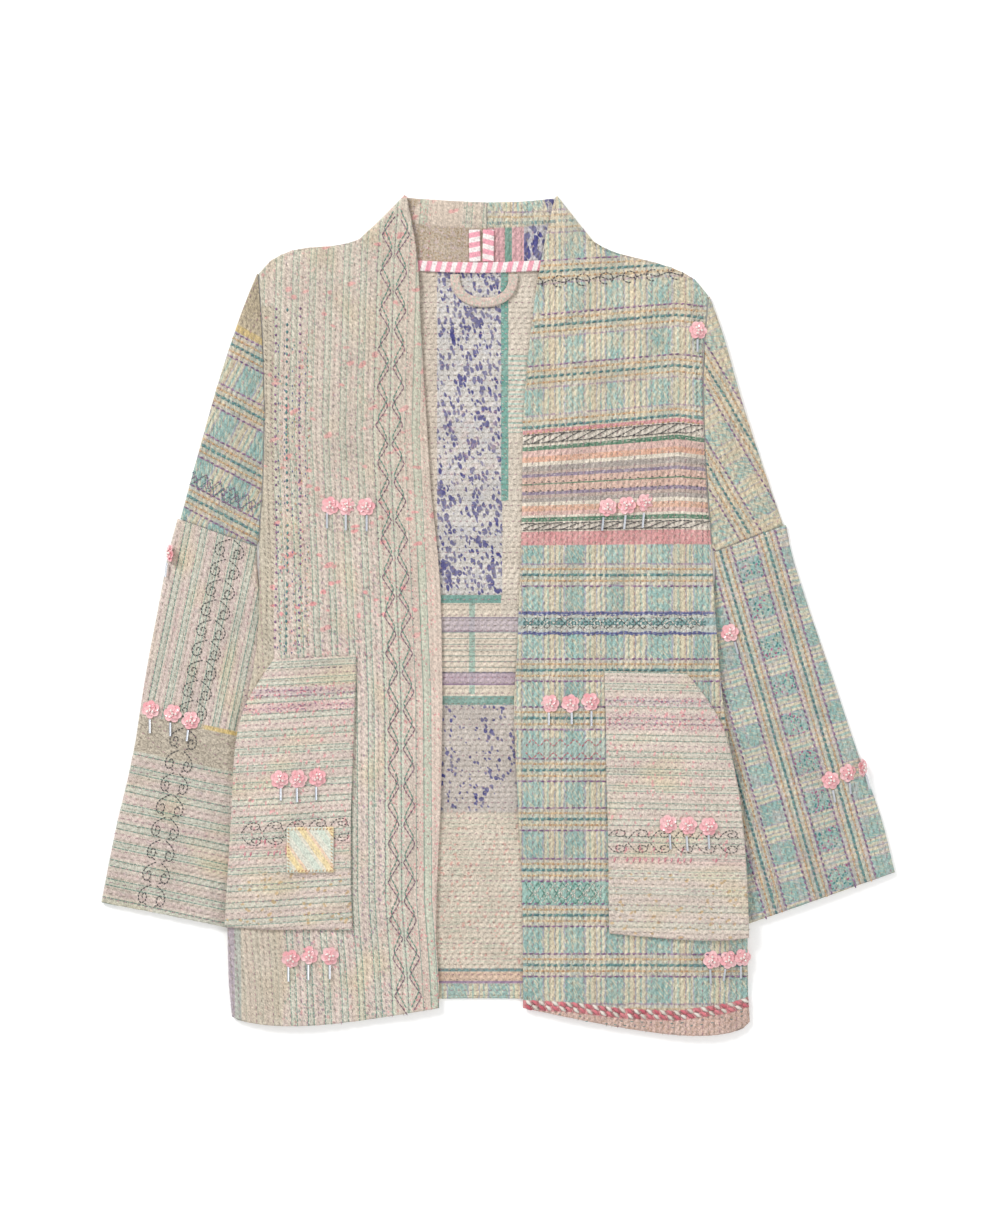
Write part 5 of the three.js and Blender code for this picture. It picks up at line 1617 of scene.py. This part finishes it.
def model_bead():
    """A round bead, flattened a little, with a dimple where the thread goes in."""
    bpy.ops.object.select_all(action="DESELECT")
    bpy.ops.mesh.primitive_uv_sphere_add(segments=10, ring_count=6, radius=BEAD_RADIUS)
    model = bpy.context.object
    select_where(model, lambda place: abs(place.z) > 0.95 * BEAD_RADIUS)
    bpy.ops.transform.resize(value=(1, 1, 0.6), center_override=(0, 0, 0))
    bpy.ops.mesh.select_all(action="SELECT")
    bpy.ops.transform.resize(value=(1, 1, 0.85), center_override=(0, 0, 0))
    bpy.ops.object.mode_set(mode="OBJECT")
    return take_model(1)


def model_bugle():
    """A unit-long glass tube along X, open at both ends, with softened rims."""
    bpy.ops.object.select_all(action="DESELECT")
    bpy.ops.mesh.primitive_cylinder_add(
        vertices=8, radius=BUGLE_RADIUS, depth=1.0, end_fill_type="NGON", rotation=(0, math.pi / 2, 0))
    model = bpy.context.object
    bpy.ops.object.transform_apply(location=True, rotation=True, scale=True)
    bpy.ops.object.mode_set(mode="EDIT")
    bpy.ops.mesh.select_mode(type="FACE")
    bpy.ops.mesh.select_all(action="DESELECT")
    bpy.ops.object.mode_set(mode="OBJECT")
    for polygon in model.data.polygons:
        polygon.select = abs(polygon.normal.x) > 0.9
    bpy.ops.object.mode_set(mode="EDIT")
    bpy.ops.mesh.inset(thickness=0.4, depth=0.0, use_individual=True)
    bpy.ops.mesh.inset(thickness=0.0, depth=-0.12, use_individual=True)
    bpy.ops.object.mode_set(mode="OBJECT")
    return take_model(2)


SEQUIN = model_sequin()
BEAD = model_bead()
BUGLE = model_bugle()


def glossy(name, colour, painted_sheen, roughness, metal, coat):
    """A pearly shell: its colour drifts from sequin to sequin and, in flecks, towards a paler painted sheen
    that stands in for its highlights.
    """
    finish = Dyeing(name, roughness=roughness, sheen=0.0)
    finish.shader.inputs["Metallic"].default_value = metal
    finish.shader.inputs["Specular IOR Level"].default_value = 0.6
    finish.shader.inputs["Coat Weight"].default_value = coat
    finish.shader.inputs["Coat Roughness"].default_value = 0.12
    x, y = finish.turned(0)
    shade = finish.stored_number("shade")
    painted_sheen_flecks = finish.flecks(x, y, 2.2, 2.2, 0.5, 5.0, 0.25)
    # Painted highlights: flecks, and some copies by chance, are mixed towards the paler sheen colour.
    tint = finish.mix(finish.maths("MULTIPLY_ADD", painted_sheen_flecks, 0.35, finish.both(shade, 0.45)), colour, painted_sheen)
    finish.link(tint, finish.shader.inputs["Base Color"])
    finish.bump(finish.cloud(x, y, 0.8, 0.8, 1.0, 6.0), 0.25, 0.15)
    return finish.material


# Each finish: its colour, the paler colour of its painted sheen (painted highlights), its roughness, metal
# and coat.
FLOWER_FINISHES = [
    glossy("pink_sequin", dye(243, 169, 176), dye(255, 232, 230), 0.25, 0.0, 0.6),
    glossy("pearl_bead", dye(236, 224, 216), dye(255, 250, 246), 0.18, 0.0, 0.8),
    glossy("silver_bugle", dye(198, 204, 214), dye(242, 244, 248), 0.22, 0.5, 0.3),
]
# Each flower: its middle and its stem's top and end in mm, and its lean over an edge in degrees.
FLOWERS = {
    "chest_right": [
        (-155.3, 100.6, (-158.1, 93.4), (-158.1, 79.7), 0),
        (-139.8, 99.6, (-140.8, 92.4), (-140.8, 77.8), 0),
        (-122.2, 99.6, (-121.6, 91.5), (-121.6, 76.9), 0),
    ],
    "hem_right": [
        (-191.4, -315.5, (-193.5, -323.0), (-193.5, -336.5), 0),
        (-174.4, -312.6, (-175.3, -321.5), (-175.3, -335.4), 0),
        (-155.3, -313.3, (-155.5, -321.5), (-155.5, -334.3), 0),
    ],
    "pocket_right": [
        (-201.1, -150.5, (-200.0, -158.6), (-200.0, -169.8), 0),
        (-184.2, -150.2, (-185.3, -158.6), (-185.3, -171.6), 0),
        (-166.8, -149.2, (-167.9, -157.6), (-167.9, -169.8), 0),
    ],
    "sleeve_right_edge": [
        (-302.0, 57.0, (-305.2, 47.9), (-306.6, 35.0), -50),
    ],
    "sleeve_right_band": [
        (-320.4, -86.8, (-321.1, -96.0), (-321.1, -108.6), -12),
        (-299.9, -90.4, (-302.2, -99.0), (-302.2, -111.3), 0),
        (-283.5, -96.8, (-285.8, -105.7), (-287.1, -115.9), 0),
    ],
    "chest_left": [
        (100.0, 99.1, (96.1, 89.9), (94.8, 77.5), 0), (117.6, 100.9, (116.4, 91.7), (115.0, 78.8), 0),
        (134.7, 103.5, (133.3, 93.9), (132.0, 80.1), 0),
    ],
    "front_left_middle": [
        (47.0, -81.3, (45.8, -89.7), (45.8, -101.2), 0),
        (65.7, -81.3, (66.8, -89.7), (66.8, -100.3), 0),
        (84.0, -79.5, (85.0, -88.2), (85.0, -102.0), 0),
    ],
    "shoulder_left": [
        (183.1, 262.0, (182.7, 253.6), (182.7, 241.8), 8),
    ],
    "sleeve_left_upper": [
        (212.2, -16.4, (216.6, -24.6), (219.7, -35.7), 0),
    ],
    "sleeve_left_lower": [
        (304.9, -152.0, (307.0, -161.0), (309.1, -172.2), 0),
        (320.7, -145.2, (322.4, -154.3), (323.5, -164.7), 10),
        (334.0, -140.4, (337.4, -147.2), (341.0, -160.0), 50),
    ],
    "pocket_left": [
        (155.4, -191.7, (156.6, -201.0), (157.4, -214.7), 0),
        (173.4, -192.8, (171.9, -202.5), (172.8, -216.2), 0),
        (191.9, -193.6, (191.9, -201.4), (192.6, -214.2), 0),
    ],
    "hem_left": [
        (195.6, -316.4, (193.9, -325.2), (194.6, -338.6), 0),
        (210.8, -316.4, (207.9, -324.7), (206.3, -335.9), 0),
        (223.8, -314.4, (222.1, -322.6), (222.3, -333.9), 15),
    ],
}
# A flower's sequins lie in two rings, the inner one on top; its beads are spread over the middle.
BLOOM_RINGS = table("count radius lift tilt scale turn", [
    (6, 5.0, 1.2, 14, 1.0, 0), (3, 2.4, 2.2, 10, 0.86, 30),
])
BEAD_PLACES = [(0, 0.0, 3.0), (70, 3.0, 2.9), (190, 2.8, 2.9), (300, 3.1, 2.9)]
FLOOR_ROOM = 0.2 * MM
SEAT_RAISED = 0.5
SEAT_LEVELLED = 0.6
STEEPEST = 0.1


def add_copy(store, model, matrix, shade):
    """Adds one copy of a model, moved by a matrix in mm, to a flower group's mesh."""
    base = len(store["points"])
    store["points"].extend((matrix @ point) * MM for point in model["points"])
    store["faces"].extend(tuple(base + corner for corner in face) for face in model["faces"])
    store["materials"].extend([model["material"]] * len(model["faces"]))
    store["shades"].extend([shade] * len(model["points"]))


chance = random.Random(7)
for group, rows in FLOWERS.items():
    store = {"points": [], "faces": [], "materials": [], "shades": []}
    for flower in table("x y top end lean", rows):
        first_point = len(store["points"])
        point, normal, _ = ground.under(flower["x"], flower["y"], STEEPEST)
        upward = Vector((0, 0, 1))
        facing = upward.rotation_difference(normal.lerp(upward, SEAT_LEVELLED))
        seat = Matrix.Translation(point / MM + SEAT_RAISED * upward) @ facing.to_matrix().to_4x4()
        seat = seat @ Matrix.Rotation(math.radians(flower["lean"]), 4, "Y")
        spin = chance.uniform(0, 72)
        for ring in BLOOM_RINGS:
            for petal in range(ring["count"]):
                turn = spin + ring["turn"] + 360 * petal / ring["count"] + chance.uniform(-6, 6)
                swing = Matrix.Rotation(math.radians(turn), 4, "Z")
                lift = ring["lift"] + 0.25 * (petal % 2) + chance.uniform(0, 0.15)
                lay = Matrix.Translation((ring["radius"], 0, lift))
                lay = lay @ Matrix.Rotation(math.radians(ring["tilt"]), 4, "Y")
                roll = Matrix.Rotation(math.radians(chance.uniform(-9, 9)), 4, "X")
                place = seat @ swing @ lay @ roll @ Matrix.Scale(ring["scale"], 4)
                add_copy(store, SEQUIN, place, chance.random())
        for turn, reach, lift in BEAD_PLACES:
            place = Matrix.Rotation(math.radians(spin + turn), 4, "Z") @ Matrix.Translation((reach, 0, lift))
            add_copy(store, BEAD, seat @ place, chance.random())
        below_top = ground.under(*flower["top"], STEEPEST)
        top = below_top[0] / MM
        end = (ground.under(*flower["end"], STEEPEST) or below_top)[0] / MM
        end = Vector((flower["end"][0], flower["end"][1], end.z))
        run = end - top
        bugle = Matrix.Translation((top + end) / 2 + Vector((0, 0, BUGLE_RADIUS + 0.35)))
        bugle = bugle @ run.to_track_quat("X", "Z").to_matrix().to_4x4()
        bugle = bugle @ Matrix.Diagonal((run.length, 1, 1, 1))
        add_copy(store, BUGLE, bugle, chance.random())
        raise_by = FLOOR_ROOM - min(place.z for place in store["points"][first_point:])
        if raise_by > 0:
            for place in store["points"][first_point:]:
                place.z += raise_by
    mesh = bpy.data.meshes.new("flowers_" + group)
    mesh.from_pydata(store["points"], [], store["faces"])
    mesh.attributes.new("shade", "FLOAT", "POINT").data.foreach_set("value", store["shades"])
    for finish in FLOWER_FINISHES:
        mesh.materials.append(finish)
    mesh.polygons.foreach_set("material_index", store["materials"])
    bloom = bpy.data.objects.new("flowers_" + group, mesh)
    scene.collection.objects.link(bloom)
    bpy.ops.object.select_all(action="DESELECT")
    bloom.select_set(True)
    bpy.context.view_layer.objects.active = bloom
    bpy.ops.object.shade_smooth_by_angle(angle=math.radians(40))
    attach(bloom, "root")
